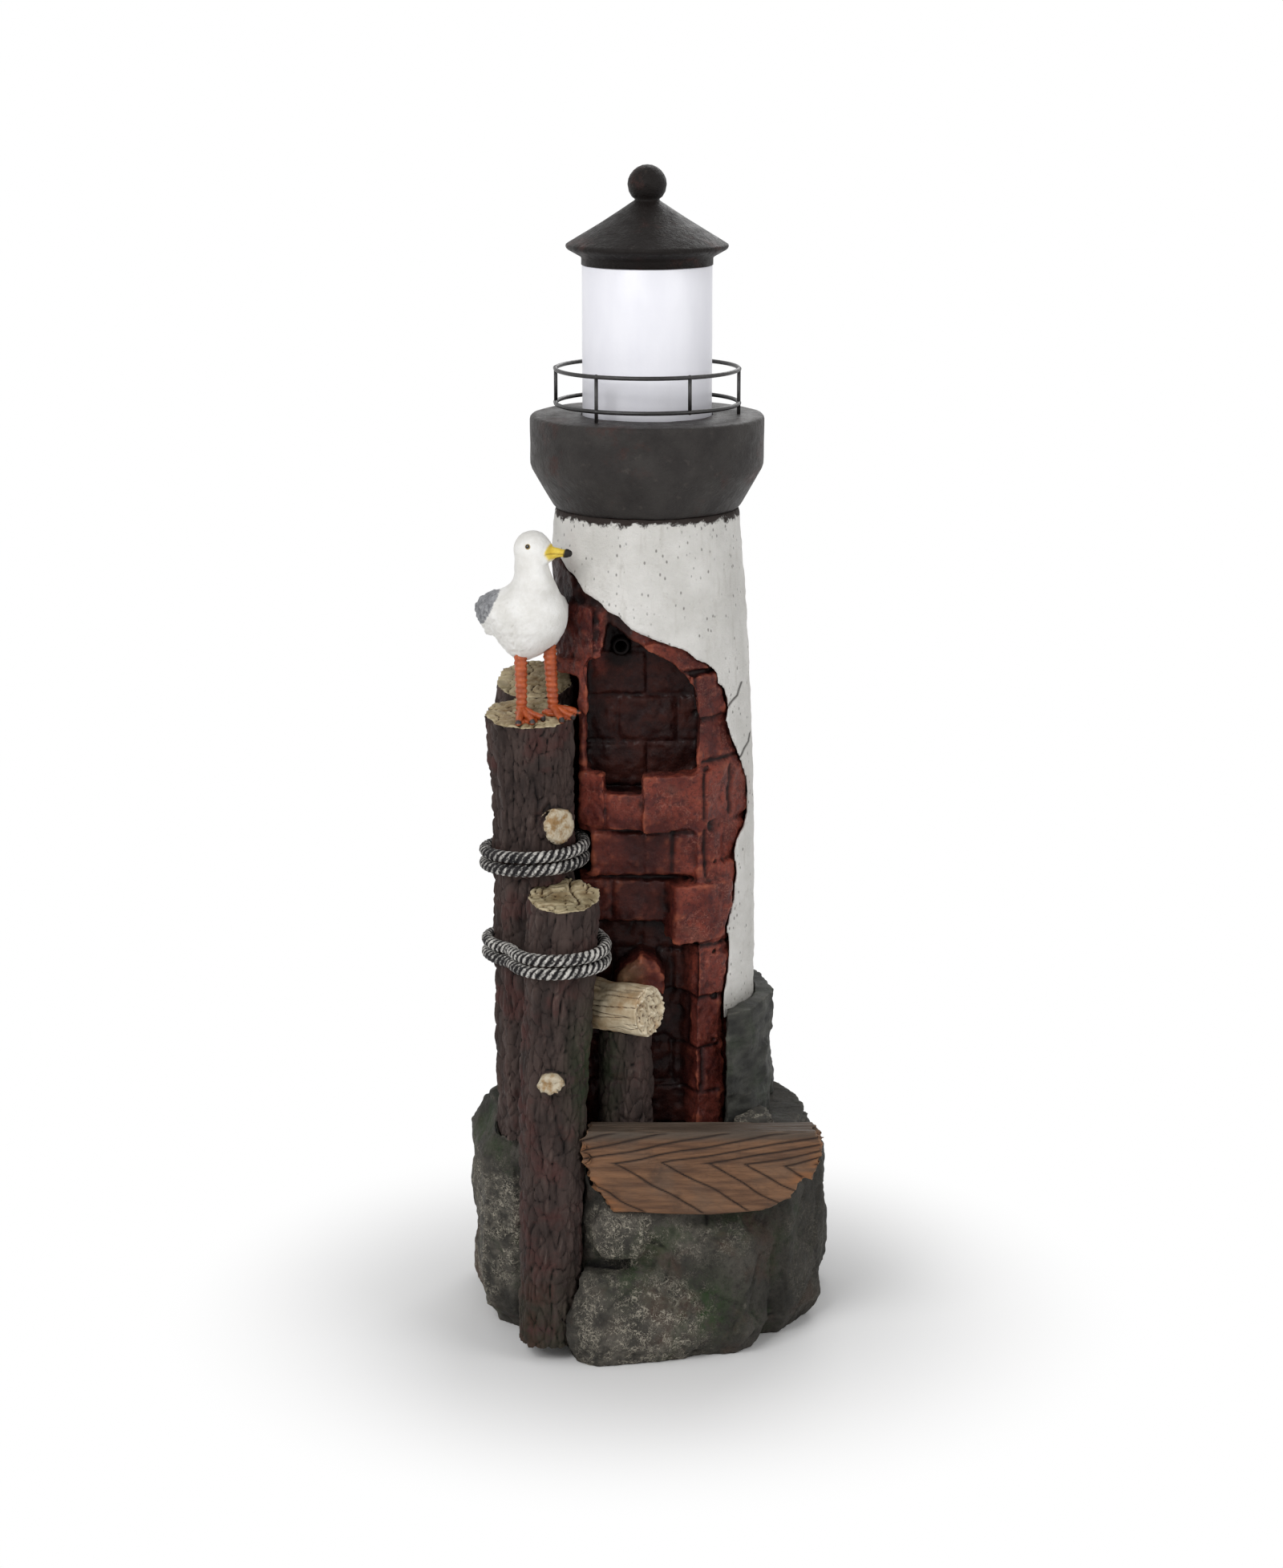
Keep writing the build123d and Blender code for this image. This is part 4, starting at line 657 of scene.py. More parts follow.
for node in post_heads:
    post_skin = skin_of(node, voxel=0.0013, passes=1)
    note(post_skin, sawn=lambda p, n: saw_face(p, n, node), knot=lambda p, n: saw_face(p, n, ""))
    carve(post_skin, lambda p, n: bark_depth(p, n, node), passes=10, reach=0.0034)
    note(post_skin, mossy=mossy)
    set_in_place(node + "_bark", post_skin, bark_finish, "bark", node)

# Split log: a short barkless billet that leans out between two posts, its end split open.
# Cast on its own, painted straw and tan, with painted shade in the checks and towards the tail,
# and painted highlights on the high spots.
log_tail, log_face = Vector((-0.047, -0.066, 0.277)), Vector((0.003, -0.104, 0.281))
log_way = (log_face - log_tail).normalized()


def log_grain(place):
    """Place in the log's own lie, drawn out along its length."""
    run = (place - log_tail).dot(log_way)
    across = place - log_tail - log_way * run
    return across + log_way * run * 0.12


def log_depth(place, normal):
    """Long checks in the sides, and a torn end."""
    end = fade(normal.dot(log_way), 0.5, 0.8)
    check = groove(noise.noise(log_grain(place) * 230), 0.12)
    torn = noise.fractal(place * 160, 0.8, 2.0, 3)
    lump = noise.fractal(place * 50, 0.9, 2.0, 2)
    return (1 - end) * (0.0022 * lump - 0.0014 * check) + end * 0.0034 * (torn - 0.6)


log_skin = skin_of("log_stub", voxel=0.0009, passes=3)
carve(log_skin, log_depth, passes=8, reach=0.0022)
note(log_skin, run=lambda p, n: (p - log_tail).dot(log_way) / (log_face - log_tail).length)
log_finish, spot = new_finish("split_log")
log_relief = spot.noted("relief")
log_colour = spot.cloudy(70, (164, 142, 110), (212, 198, 170), 6, 0.65).coats(
    (spot.patch(0.48, 0.66, 38) * 0.5, (160, 116, 62)),
    # painted shade in the checks and low spots
    (1 - log_relief.between(0.15, 0.5), (84, 60, 40)),
    # painted highlight on the high spots
    (log_relief.between(0.55, 0.9) * 0.7, (230, 220, 196)),
    # painted shade towards the tail, where the log goes in between the posts
    ((1 - spot.noted("run").between(0.0, 0.45)) * 0.6, (118, 88, 56)),
)
lay_on(log_finish, log_colour, spot.worn(120, 0.2, 0.45), spot.mottle(500, 5), 0.0008)
set_in_place("log_billet", log_skin, log_finish, "cut_wood", "log_stub")

# Rope bindings: three-strand rope wound twice round the posts, cast in place, painted black
# and dry-brushed white over the strands.
rope_radius, rope_lay, rope_pitch = 0.0048, 0.0165, 0.0103
rope_plans = {
    "rope_upper": (0.3872, [
        (-0.0865, -0.0259), (-0.1062, -0.0312), (-0.1206, -0.0456), (-0.1259, -0.0653), (-0.1206, -0.085),
        (-0.1062, -0.0994), (-0.0865, -0.1047), (-0.0668, -0.0994), (-0.0524, -0.085), (-0.0471, -0.0653),
        (-0.0524, -0.0456), (-0.0668, -0.0312),
    ]),
    "rope_lower": (0.3162, [
        (-0.0862, -0.0252), (-0.106, -0.0305), (-0.1203, -0.045), (-0.1251, -0.064), (-0.118, -0.085),
        (-0.104, -0.0985), (-0.1, -0.115), (-0.0905, -0.13), (-0.076, -0.1385), (-0.059, -0.1385),
        (-0.0435, -0.131), (-0.0335, -0.117), (-0.031, -0.1), (-0.035, -0.082), (-0.044, -0.062),
        (-0.052, -0.044), (-0.0665, -0.0305),
    ]),
}


def drawn(runs, thickness, widths=None):
    """Smooth lines through control points, as a mesh: bare, or tubes where they have a thickness."""
    line = bpy.data.curves.new("line", "CURVE")
    line.dimensions = "3D"
    line.resolution_u = 8
    line.bevel_depth = thickness
    line.bevel_resolution = 2
    line.use_fill_caps = True
    for run in runs:
        spline = line.splines.new("NURBS")
        spline.points.add(len(run) - 1)
        for point, place, width in zip(spline.points, run, widths or [1.0] * len(run)):
            point.co = (*place, 1.0)
            point.radius = width
        spline.order_u = 3
        spline.use_endpoint_u = True
    holder = bpy.data.objects.new("line", line)
    mesh = bpy.data.meshes.new_from_object(holder)
    bpy.data.objects.remove(holder)
    return mesh


def distance_to(places):
    """Function that gives a point's distance to the nearest of some places."""
    tree = KDTree(len(places))
    for index, place in enumerate(places):
        tree.insert(place, index)
    tree.balance()
    return lambda point: tree.find(point)[2]


rope_finish, spot = new_finish("dry_brushed_rope")
rope_fibre = spot.mottle(520, 4, 0.7)
rope_black = spot.cloudy(110, (20, 19, 21), (44, 41, 42))
rope_white = spot.noted("relief") + (rope_fibre - 0.5) * 0.4 + (spot.mottle(70, 3) - 0.5) * 0.35
rope_colour = rope_white.between(0.89, 1.04).tint(rope_black, (212, 209, 203))
lay_on(rope_finish, rope_colour, 0.62, rope_fibre, 0.001, 0.2)
for node, (rope_z, plan) in rope_plans.items():
    route = []
    for turn in range(2):
        for step, (x, y) in enumerate(plan):
            route.append((x, y, rope_z + rope_pitch * (turn + step / len(plan))))
    route.append((*plan[0], rope_z + 2 * rope_pitch))
    middle = [v.co.copy() for v in drawn([route], 0.0).vertices]
    strands = [[], [], []]
    run = 0.0
    for before, here, after in zip(middle, middle[1:], middle[2:]):
        run += (here - before).length
        way = (after - before).normalized()
        side = way.cross(Vector((0, 0, 1))).normalized()
        rise = side.cross(way)
        for turn, strand in enumerate(strands):
            angle = 2 * math.pi * (run / rope_lay + turn / 3)
            strand.append(here + (side * math.cos(angle) + rise * math.sin(angle)) * 0.5 * rope_radius)
    rope_shape = bmesh.new()
    rope_shape.from_mesh(drawn(strands, 0.53 * rope_radius))
    from_middle = distance_to(middle)
    note(rope_shape, relief=lambda p, n: from_middle(p) / rope_radius)
    set_in_place(node + "_strands", rope_shape, rope_finish, "rope", node)

# Weir board: a weathered board across the front of the pool, split to a ragged end, cast with
# its figure cut in. Brown paint with the grain picked out dark and a grey top edge.
board_middle_x = 0.038
figure_z, figure_x, figure_pitch = 0.1625, -0.0264, 0.044


def board_figure(place):
    """Distance to the nearest line of the figure: arrow-heads nested one in the next, pointing left."""
    wander = noise.noise(Vector((place.x * 22, 0.3, place.z * 40))) * 0.0028
    lift = place.z - figure_z + wander
    steep = 0.19 if lift > 0 else 0.58
    waver = noise.noise(Vector((place.x * 30, 2.0, place.z * 60))) * 0.006
    point = place.x - abs(lift) / steep - figure_x + waver
    count = point / figure_pitch + 60 * max(point, 0.0) ** 2
    spread = 1 / (1 / figure_pitch + 120 * max(point, 0.0))
    fine = abs(2 * count - round(2 * count)) / 2
    strong = abs(count - round(count))
    return strong * spread * steep, fine * spread * steep


def board_ring(place, normal):
    """1 on the main lines of the figure, less on the fine ones between them, on the face alone."""
    strong, fine = board_figure(place)
    return fade(-normal.y, 0.6, 0.9) * max(groove(strong, 0.0009), 0.15 * groove(fine, 0.0006))


def board_depth(place, normal):
    """Cut figure on the face, long splits on the edges, splintered ends."""
    face = fade(-normal.y, 0.6, 0.9)
    fibre = noise.noise(Vector((place.x * 18, place.y * 260, place.z * 260)))
    split = groove(noise.noise(Vector((place.x * 9, place.y * 170, place.z * 170))), 0.1)
    shred = noise.fractal(Vector((place.x * 20, place.y * 90, place.z * 150)), 0.7, 2, 2)
    splinter = fade(abs(normal.x), 0.3, 0.7) * abs(shred)
    cut = 0.0014 * board_ring(place, normal)
    return 0.0004 * fibre - cut - (1 - face) * 0.0013 * split - 0.007 * splinter


board_skin = skin_of("weir_board", voxel=0.001, passes=3)
board_skin.normal_update()
from_end = distance_to([v.co.copy() for v in board_skin.verts if abs(v.normal.x) > 0.5])
note(board_skin, torn=lambda p, n: 1 - fade(from_end(p), 0.0, 0.014))
torn = board_skin.verts.layers.float["torn"]
for v in board_skin.verts:
    inwards = math.copysign(0.006, board_middle_x - v.co.x)
    v.co.x += inwards * v[torn] * abs(noise.noise(Vector((inwards * 900, v.co.y * 80, v.co.z * 150))))
note(board_skin, ring=board_ring)
carve(board_skin, board_depth, passes=8, reach=0.0024)
board_finish, spot = new_finish("weathered_board")
board_relief = spot.noted("relief")
board_long = spot.stretched(0.1, 1, 1)
board_grey = (spot.along("Z") + board_long.mottle(90) * 0.008).between(0.184, 0.191)
board_colour = board_long.cloudy(160, (80, 56, 41), (128, 93, 67), 6, 0.65).coats(
    (spot.patch(0.46, 0.66, 20) * 0.5, (100, 82, 68)),
    (spot.patch(0.5, 0.68, 34, 6, 0.7) * 0.55, (66, 50, 40)),
    (spot.noted("torn") * board_long.patch(0.4, 0.6, 140) * 0.5, (152, 98, 56)),
    (board_grey * 0.85, (74, 66, 58)),
    (spot.noted("ring") * 0.85, (38, 26, 20)),
    # painted shade in the cuts, splits and low spots of the board
    (1 - board_relief.between(0.1, 0.48), (34, 24, 19)),
    # painted highlight on the raised wood
    (board_relief.between(0.58, 0.95) * 0.5, (164, 124, 90)),
)
board_fibre = board_long.mottle(480, 6, 0.7)
lay_on(board_finish, board_colour, board_long.worn(120, 0.2, 0.44), board_fibre, 0.001, 0.25)
set_in_place("figured_board", board_skin, board_finish, "board", "weir_board")

# Gallery collar and roof cap: turned shapes cast hollow, painted a brown black over a faintly
# pitted skin, with rust showing through. The collar plugs into the tower, the cap into the lens.
turn_steps = 144
collar_profile = [
    (0.009, 0.723), (0.05, 0.723), (0.05, 0.7265), (0.0505, 0.727), (0.07, 0.7272), (0.0862, 0.727),
    (0.0884, 0.7264), (0.0896, 0.725), (0.09, 0.7232), (0.0901, 0.714), (0.0899, 0.705), (0.0899, 0.694),
    (0.0897, 0.6895), (0.0885, 0.6858), (0.08, 0.671), (0.0728, 0.6585), (0.0708, 0.6562), (0.0646, 0.656),
    (0.0646, 0.636), (0.0596, 0.636), (0.0596, 0.7), (0.0476, 0.712), (0.009, 0.712),
]
cap_profile = [
    (0.0, 0.8955), (0.0, 0.876), (0.0425, 0.8495), (0.0425, 0.828), (0.0465, 0.828), (0.0465, 0.84),
    (0.0502, 0.84), (0.0502, 0.8452), (0.0512, 0.8462), (0.06, 0.8511), (0.0614, 0.8524), (0.062, 0.854),
    (0.0616, 0.8554), (0.0602, 0.8564), (0.052, 0.8614), (0.043, 0.8668), (0.034, 0.8722), (0.025, 0.878),
    (0.017, 0.8832), (0.0118, 0.8866), (0.0098, 0.888), (0.0094, 0.8888), (0.0118, 0.8907), (0.014, 0.8946),
    (0.015, 0.9), (0.0145, 0.904), (0.013, 0.9075), (0.0106, 0.9106), (0.0075, 0.913), (0.0039, 0.9145),
    (0.0, 0.915),
]


def spin_round(shape, geometry, steps):
    """Spins some points and edges once round the tower's axis."""
    bmesh.ops.spin(
        shape, geom=geometry, cent=(0, 0, 0), axis=(0, 0, 1), angle=2 * math.pi, steps=steps, use_merge=True
    )


def turned(profile, closed):
    """Turned shape: a profile spun once round the tower's axis."""
    shape = bmesh.new()
    rim = [shape.verts.new((r, 0, z)) for r, z in profile]
    edges = [shape.edges.new(pair) for pair in zip(rim, rim[1:])]
    if closed:
        edges.append(shape.edges.new((rim[-1], rim[0])))
    spin_round(shape, rim + edges, turn_steps)
    bmesh.ops.remove_doubles(shape, verts=shape.verts, dist=1e-6)
    bmesh.ops.recalc_face_normals(shape, faces=shape.faces)
    return shape


def iron_depth(place, normal):
    """Hand-finished casting, very slightly out of true."""
    return 0.00035 * noise.fractal(place * 38, 0.9, 2.0, 2) - 0.0002


iron_finish, spot = new_finish("pitted_dark_paint")
iron_pit = 1 - spot.cells(420).between(0.05, 0.3)
iron_colour = spot.cloudy(34, (44, 41, 40), (58, 55, 53), 5).coats(
    # painted shade: the roof cap, above z 0.8, is darker than the collar
    (spot.along("Z").between(0.8, 0.83) * 0.9, (17, 12, 10)),
    (spot.patch(0.54, 0.7, 24, 6, 0.7) * 0.55, (70, 42, 37)),
    (spot.patch(0.6, 0.75, 150) * 0.4, (80, 74, 70)),
)
iron_skin = spot.mottle(230, 6, 0.65) - iron_pit * 0.25
iron_rough = spot.patch(0.25, 0.75, 130, 5) * 0.2 + 0.38
lay_on(iron_finish, iron_colour, iron_rough, iron_skin, 0.0012, 0.14)
for name, node, body, profile in (
    ("gallery_casting", "gallery_collar", "fountain", collar_profile),
    ("roof_casting", "roof_cap", "roof", cap_profile),
):
    casting = turned(profile, node == "gallery_collar")
    bmesh.ops.subdivide_edges(
        casting, edges=[e for e in casting.edges if e.calc_length() > 0.0055], cuts=2, use_grid_fill=True
    )
    carve(casting, iron_depth)
    set_in_place(name, casting, iron_finish, "dark_metal", node, body=body)

# Gallery railing: two rings of bent wire welded to six uprights, three of them let into the
# deck as legs. Dipped in black.
rail_ring_r, rail_wire_r, rail_post_r = 0.07, 0.0016, 0.0014
rail_ring_zs, rail_foot_z, rail_head_z = (0.7355, 0.7615), 0.72, 0.7618
railing = bmesh.new()
for ring_z in rail_ring_zs:
    wire = bmesh.ops.create_circle(
        railing, segments=12, radius=rail_wire_r,
        matrix=Matrix.Translation((rail_ring_r, 0, ring_z)) @ Matrix.Rotation(math.pi / 2, 4, "X"),
    )["verts"]
    loop = list({edge for v in wire for edge in v.link_edges})
    spin_round(railing, wire + loop, 120)
for index in range(6):
    turn = math.radians(-33 + 60 * index)
    x, y = rail_ring_r * math.sin(turn), -rail_ring_r * math.cos(turn)
    foot_z = rail_foot_z if index % 2 == 0 else rail_ring_zs[0]
    bmesh.ops.create_cone(
        railing, cap_ends=True, segments=12, radius1=rail_post_r, radius2=rail_post_r,
        depth=rail_head_z - foot_z, matrix=Matrix.Translation((x, y, (rail_head_z + foot_z) / 2)),
    )
    for weld_z in rail_ring_zs:
        bmesh.ops.create_icosphere(
            railing, subdivisions=2, radius=1.25 * rail_wire_r, matrix=Matrix.Translation((x, y, weld_z))
        )
bmesh.ops.recalc_face_normals(railing, faces=railing.faces)
wire_finish, spot = new_finish("dipped_wire")
wire_skin = spot.mottle(300, 5)
wire_colour = wire_skin.between(0.3, 0.7).tint((16, 15, 15), (36, 33, 32))
lay_on(wire_finish, wire_colour, wire_skin * 0.25 + 0.3, wire_skin, 0.0004)
set_in_place("wire_railing", railing, wire_finish, "wire", "gallery_railing")

# Lantern lens: a blow-moulded tube of milky plastic on a rubber ring, lit from inside at night.
# It lifts out of its seat in the gallery, and the cap sits in its upper end.
lens_profile = [
    (0.047, 0.725), (0.049, 0.725), (0.0495, 0.7256), (0.0495, 0.76), (0.0496, 0.785), (0.0495, 0.81),
    (0.0495, 0.8394), (0.049, 0.84), (0.0475, 0.84), (0.047, 0.8394),
]
lens_finish, spot = new_finish("milky_plastic")
lens_haze = spot.stretched(1, 1, 0.3).cloudy(30, (234, 234, 241), (241, 241, 247), 3)
# painted light: a faint glow, not a lamp, makes the milky plastic look evenly lit through
lay_on(
    lens_finish, lens_haze, spot.worn(140, 0.1, 0.36), spot.mottle(180), 0.0002,
    fixed={"Emission Color": paint(236, 236, 246), "Emission Strength": 0.04},
)
lens_tube = turned(lens_profile, True)
set_in_place("milky_lens", lens_tube, lens_finish, "diffuser", "lantern_lens", body="lantern")

# Gull: cast in one, white with grey wings, a yellow bill tipped black and a dark eye in a pale
# ring. It stands on the tallest front post on its own cast legs.
gull_at, gull_yaw, gull_pitch = Vector((-0.089, -0.065, 0.582)), math.radians(-60), math.radians(37)
from_gull = Matrix.Translation(gull_at) @ Matrix.Rotation(gull_yaw, 4, "Z")
from_gull = from_gull @ Matrix.Rotation(-gull_pitch, 4, "Y")
to_gull = from_gull.inverted()
head_at = Vector((-0.086, -0.074, 0.634))
bill_yaw = math.radians(-14)
bill_way = Vector((math.cos(bill_yaw), math.sin(bill_yaw), -0.1)).normalized()
bill_root = head_at - Vector((0, 0, 0.0015))
chin_z = 0.628
wing_x, wing_z, wing_out_x, wing_out_z = -0.1078, 0.6056, -0.9007, 0.4345
gull_pulls = [
    ((-0.067, 0.622), (-0.0055, 0.0), 0.009), ((-0.065, 0.612), (-0.0035, 0.0), 0.009),
    ((-0.11, 0.563), (-0.0025, -0.005), 0.012), ((-0.097, 0.553), (-0.0015, -0.005), 0.01),
    ((-0.125, 0.564), (0.006, 0.006), 0.009), ((-0.122, 0.599), (-0.001, 0.0045), 0.009),
    ((-0.131, 0.588), (0.003, 0.0), 0.009),
]


def on_bill(place):
    """Run along the bill from the middle of the head, and 1 close to its axis, 0 away from it."""
    run = (place - bill_root).dot(bill_way)
    near = 1 - fade((place - bill_root - bill_way * run).length, 0.0085, 0.01)
    return run, near * fade(place.z - bill_root.z, -0.0064, -0.0054)


def bill_from(place, root, lean):
    """1 on the bill beyond a run, the line leaning back towards the chin."""
    run, near = on_bill(place)
    return near * fade(run - lean * (place.z - bill_root.z), root, root + 0.0012)


def bill_line(place, normal):
    """Thin line between the two halves of the bill."""
    run, near = on_bill(place)
    return near * fade(run, 0.01, 0.012) * groove(place.z - bill_root.z + 0.1 * run + 0.0004, 0.00045)


def folded(place):
    """Place on the bird as it is modelled: wings and tail drawn up, slim throat, full belly, level bill."""
    here = to_gull @ place
    here.x -= 0.42 * min(here.x + 0.014, 0.0)
    here.z += 0.008 * fade(-here.y, 0.008, 0.02) * fade(-here.x, 0.0, 0.015)
    there = from_gull @ here
    under_bill = fade(chin_z - place.z, 0.0, 0.004)
    for (x, z), (shift_x, shift_z), reach in gull_pulls:
        pull = under_bill * groove(math.hypot(there.x - x, there.z - z), reach)
        there += Vector((shift_x * pull, 0, shift_z * pull))
    run, near = on_bill(place)
    there.z += near * fade(run, 0.009, 0.013) * (0.001 + 0.09 * max(run - 0.011, 0.0))
    return there


def gull_grey(place, normal):
    """1 on the folded wings and the back, fading out towards the breast."""
    here = to_gull @ place
    behind = wing_out_z * (place.z - wing_z) + wing_out_x * (place.x - wing_x)
    near = fade(behind, -0.0015, 0.0035) * fade(place.z, 0.57, 0.577)
    far = fade(here.y, 0.014, 0.018) * fade(-0.002 - here.x, 0.0, 0.008)
    back = fade(here.z, 0.01, 0.016) * fade(-0.002 - here.x, 0.0, 0.008)
    return max(near, far, back) * fade(0.611 - place.z, 0.0, 0.006)


def gull_depth(place, normal):
    """Feathers: overlapping rows on the wings, soft tufts on the breast, ruffled beside the wing."""
    here = to_gull @ place
    grey = gull_grey(place, normal)
    row = math.sin((here.x + 0.35 * here.z) * 2 * math.pi / 0.0085 + 1.2 * math.sin(here.z * 700))
    tuft = noise.fractal(Vector((here.x * 130, here.y * 300, here.z * 300)), 0.8, 2.0, 2)
    ruffled = fade(0.612 - place.z, 0.0, 0.02) * fade(-0.08 - place.x, 0.0, 0.02)
    return grey * (0.001 + 0.0007 * row) + (0.0002 + 0.0006 * max(ruffled, grey)) * tuft


gull_skin = skin_of("gull_body", voxel=0.0009, passes=12)
note(
    gull_skin, bill=lambda p, n: bill_from(p, 0.0105, 0.42),
    tip=lambda p, n: bill_from(p, 0.0246, 0.2), gape=bill_line,
)
bill, tip = [gull_skin.verts.layers.float[name] for name in ("bill", "tip")]
for v in gull_skin.verts:
    v.co = folded(v.co) + v.normal * (0.0006 * v[bill] + 0.0008 * v[tip])
for low, high, right, passes in (
    (0.0, 0.621, 0.0, 150), (0.588, 0.619, 0.0, 400), (0.0, 0.582, -0.096, 300)
):
    soften(gull_skin, passes, [v for v in gull_skin.verts if low < v.co.z < high and v.co.x < right])
note(gull_skin, grey=gull_grey)
carve(gull_skin, gull_depth, passes=8, reach=0.0016)
gull_finish, spot = new_finish("painted_gull")
gull_relief = spot.noted("relief")
# painted shade between the feathers and in the creases of the bird
gull_crease_shade = 1 - gull_relief.between(0.1, 0.5)
gull_wing = spot.cloudy(110, (120, 121, 124), (158, 159, 162), 5).coats(
    (gull_crease_shade * 0.8, (72, 72, 75)),
    # painted highlight on the raised feather edges of the wing
    (gull_relief.between(0.55, 0.85) * 0.5, (204, 204, 205)),
    (spot.stretched(1, 1, 0.5).patch(0.5, 0.62, 330, 4, 0.7) * 0.55, (84, 84, 88)),
)
gull_edge = spot.noted("grey") + (spot.mottle(260, 5, 0.7) - 0.5) * 1.1
gull_colour = spot.cloudy(70, (226, 224, 219), (242, 241, 238), 5).coats(
    (gull_crease_shade * 0.6, (176, 170, 160)),
    (gull_edge.between(0.35, 0.65), gull_wing),
    (spot.noted("bill"), spot.cloudy(160, (214, 180, 62), (236, 210, 92))),
    (spot.noted("gape") * 0.7, (120, 84, 30)),
    (spot.noted("tip"), (28, 24, 22)),
)
lay_on(gull_finish, gull_colour, spot.worn(90, 0.15, 0.5), spot.mottle(420, 5, 0.65), 0.0006, 0.25)
set_in_place("gull_feathers", gull_skin, gull_finish, "gull", "gull_body")

eye_r, eye_out = 0.0027, 0.0125
eye_finish, spot = new_finish("gull_eye")
eye_pale = spot.cloudy(300, (168, 142, 84), (196, 172, 110))
lay_on(eye_finish, spot.noted("ring").tint((14, 12, 12), eye_pale), 0.2)
eyes = bmesh.new()
bill_side = Vector((0, 0, 1)).cross(bill_way).normalized()
eye_ways = [(bill_side * side * 0.95 + Vector((0, 0, 0.3))).normalized() for side in (-1, 1)]
for eye_way in eye_ways:
    bmesh.ops.create_icosphere(
        eyes, subdivisions=4, radius=eye_r, matrix=Matrix.Translation(head_at + eye_way * eye_out)
    )
note(eyes, ring=lambda p, n: 1 - fade(max(n.dot(way) for way in eye_ways), 0.76, 0.84))
set_in_place("gull_eyes", eyes, eye_finish, "gull")

# Gull legs: two scaled shanks on webbed feet with three thick toes each, cast orange with black
# claws, let into the body and standing on the sloping head of the post.
legs_skin = skin_of("gull_legs", voxel=0.0006, passes=3)
feet = [(Vector((-0.095, -0.079, 0.5067)), -62), (Vector((-0.071, -0.074, 0.5074)), -35)]
toe_reach, toe_spread, perch_slope = 0.0185, 34, 0.1405
toe_r, toe_widths, claw_r = 0.0024, [1.3, 1.1, 0.95, 1.0, 0.8], 0.0019
toe_lines, toe_tips = [], []
for sole, yaw in feet:
    for v in legs_skin.verts:
        away = Vector((v.co.x - sole.x, v.co.y - sole.y, 0))
        if away.length < 0.025 and v.co.z < sole.z + 0.005:
            v.co -= away * 0.2 * fade(away.length, 0.004, 0.01)
    for turn in (-toe_spread, 0, toe_spread):
        angle = math.radians(yaw + turn)
        way = Vector((math.cos(angle), math.sin(angle), perch_slope * math.sin(angle))) * toe_reach
        toe_lines.append([sole + way * run + Vector((0, 0, rise)) for run, rise in (
            (0.0, 0.006), (0.25, 0.0046), (0.6, 0.0036), (0.85, 0.0028), (1.0, 0.0018)
        )])
        toe_tips.append(toe_lines[-1][-1])
legs_skin.from_mesh(drawn(toe_lines, toe_r, toe_widths))
for toe_tip in toe_tips:
    bmesh.ops.create_icosphere(legs_skin, subdivisions=3, radius=claw_r, matrix=Matrix.Translation(toe_tip))


def leg_depth(place, normal):
    """Rings of scales up the shank, and wrinkled webs."""
    ring = math.sin(place.z * 2 * math.pi / 0.0042)
    return 0.0004 + 0.00035 * ring + 0.0003 * noise.fractal(place * 320, 0.8, 2.0, 2)


carve(legs_skin, leg_depth, passes=6, reach=0.0012)
note(legs_skin, claw=lambda p, n: 1 - fade(min((p - at).length for at in toe_tips), 0.0024, 0.0029))
leg_finish, spot = new_finish("painted_leg")
leg_colour = spot.cloudy(140, (146, 62, 24), (182, 86, 38), 5).coats(
    # painted shade between the scales and in the creases of the legs
    (1 - spot.noted("relief").between(0.1, 0.5), (92, 38, 20)),
    (spot.noted("claw"), (30, 22, 18)),
)
lay_on(leg_finish, leg_colour, spot.mottle(200) * 0.2 + 0.36, spot.mottle(500), 0.0005)
set_in_place("gull_shanks", legs_skin, leg_finish, "gull_leg", "gull_legs")

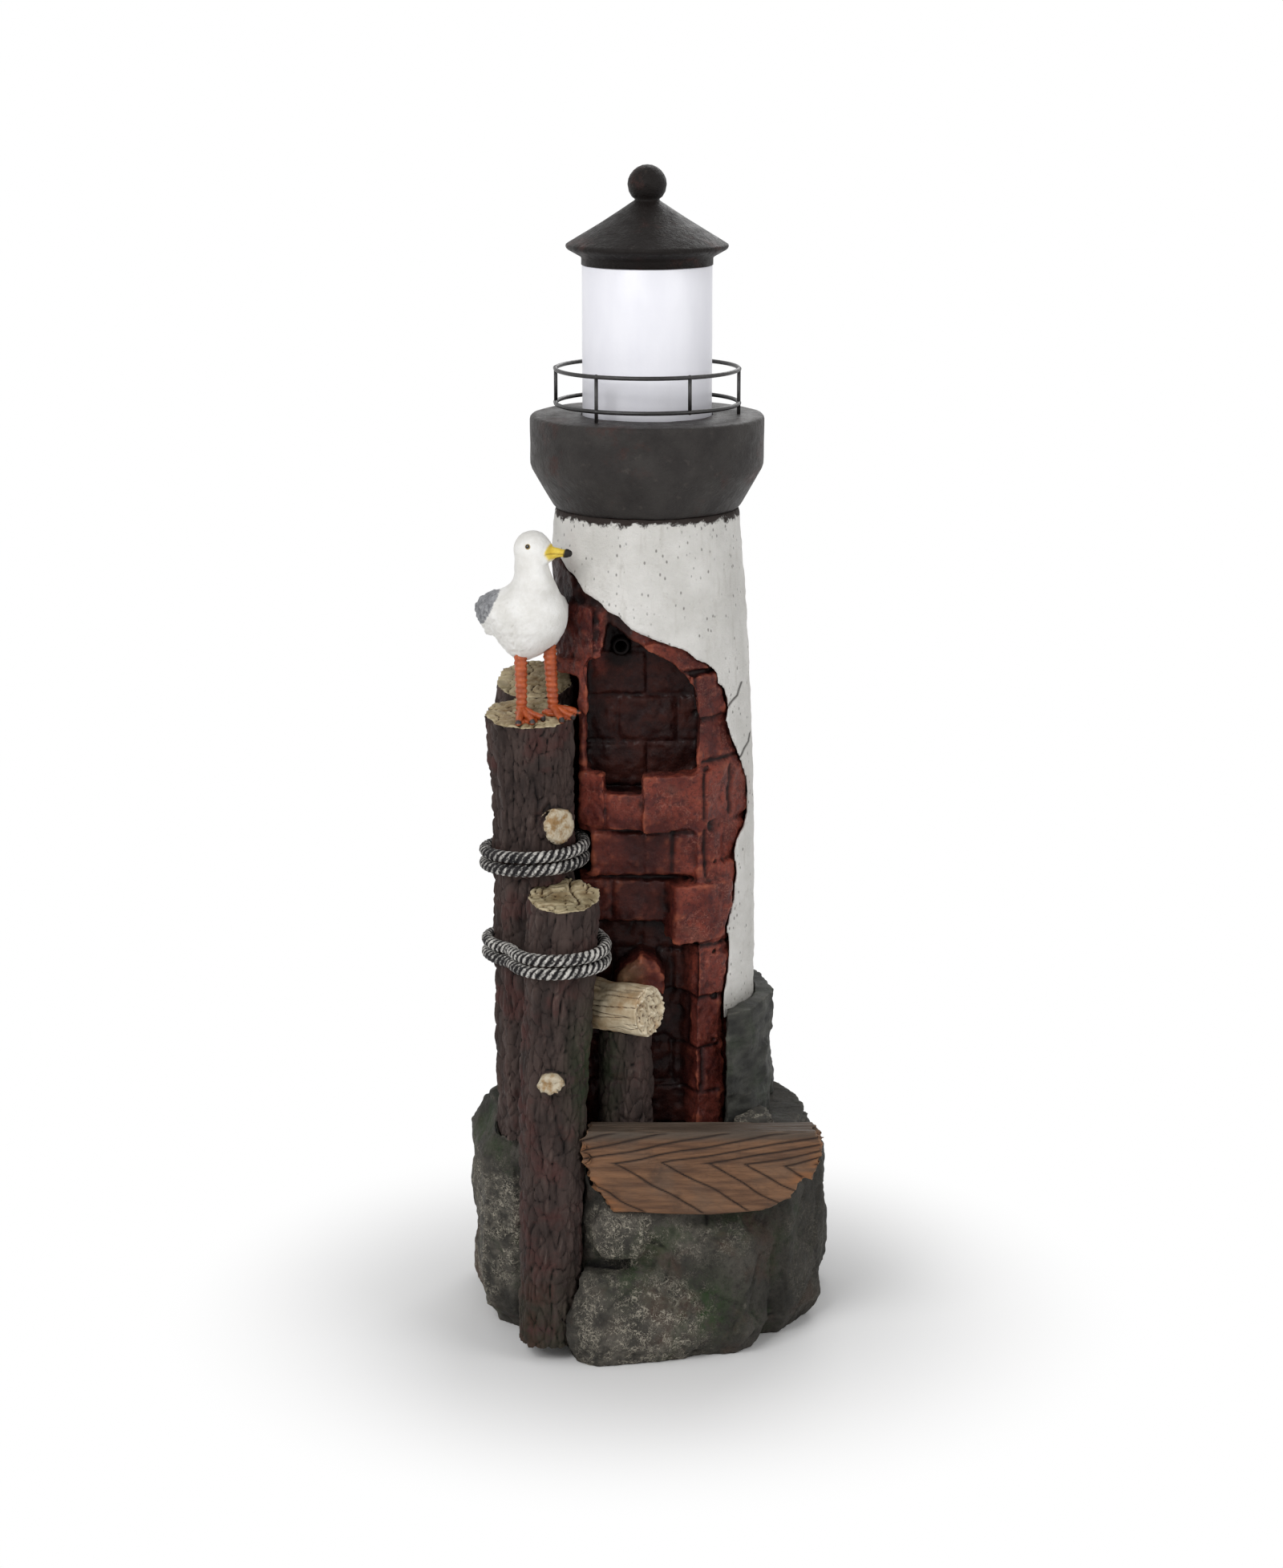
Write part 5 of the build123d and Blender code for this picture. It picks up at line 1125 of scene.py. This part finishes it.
# Table, lights and camera: a pale floor that turns white away from the piece, broad soft lamps
# and a camera a little above the lantern, looking down on the fountain.
floor_shape = bmesh.new()
bmesh.ops.create_circle(floor_shape, cap_ends=True, segments=96, radius=9.0)
studio_floor = object_of("studio_floor", floor_shape)
def seen_white(tree, plain, white, share, end):
    """Lets the eye see white in the place of a plain shader, straight, mirrored or through glass."""
    rays = tree.nodes.new("ShaderNodeLightPath").outputs
    seen = Stroke(tree, rays["Is Camera Ray"]) + Stroke(tree, rays["Is Glossy Ray"])
    seen = (seen + Stroke(tree, rays["Is Transmission Ray"])) * share
    blend = seen.node("ShaderNodeMixShader", {}, {0: seen, 1: plain, 2: white})
    tree.links.new(blend.socket, tree.nodes[end].inputs["Surface"])


floor_finish, spot = new_finish("pale_floor")
floor_tree = floor_finish.node_tree
lay_on(floor_finish, (0.92, 0.92, 0.92, 1.0), 0.9)
floor_plain = Stroke(floor_tree, floor_tree.nodes["Principled BSDF"].outputs[0])
floor_glow = spot.node("ShaderNodeEmission", {}, {})
seen_white(floor_tree, floor_plain, floor_glow, spot.length().between(0.15, 0.4), "Material Output")
studio_floor.data.materials.append(floor_finish)

scene = bpy.context.scene
scene.view_settings.view_transform = "Standard"
world = bpy.data.worlds.new("studio")
world.use_nodes = True
scene.world = world
sky = world.node_tree
sky.nodes["Background"].inputs["Color"].default_value = (1.0, 1.0, 1.0, 1.0)
sky.nodes["Background"].inputs["Strength"].default_value = 0.42
ambient = Stroke(sky, sky.nodes["Background"].outputs[0])
backdrop = ambient.node("ShaderNodeBackground", {}, {"Color": (1.0, 1.0, 1.0, 1.0)})
seen_white(sky, ambient, backdrop, 1.0, "World Output")

lamps = {
    "key": ((-1.3, -2.1, 2.1), (0.0, 0.0, 0.45), 1.3, 40.0),
    "fill": ((1.9, -1.3, 1.3), (0.0, 0.0, 0.45), 1.4, 12.0),
    "rear": ((0.6, 2.0, 1.9), (0.0, 0.0, 0.5), 1.4, 16.0),
}
for name, (place, target, size, power) in lamps.items():
    lamp = bpy.data.lights.new(name, "AREA")
    lamp.size = size
    lamp.energy = power
    stand = bpy.data.objects.new(name, lamp)
    stand.location = place
    stand.rotation_euler = (Vector(target) - Vector(place)).to_track_quat("-Z", "Y").to_euler()
    bpy.context.collection.objects.link(stand)

lens = bpy.data.cameras.new("camera")
lens.sensor_width = 36.0
lens.lens = 76.97
camera = bpy.data.objects.new("camera", lens)
camera.location = (-0.0043, -2.56, 1.05)
camera.rotation_euler = (math.radians(76.5), 0, 0)
bpy.context.collection.objects.link(camera)
scene.camera = camera
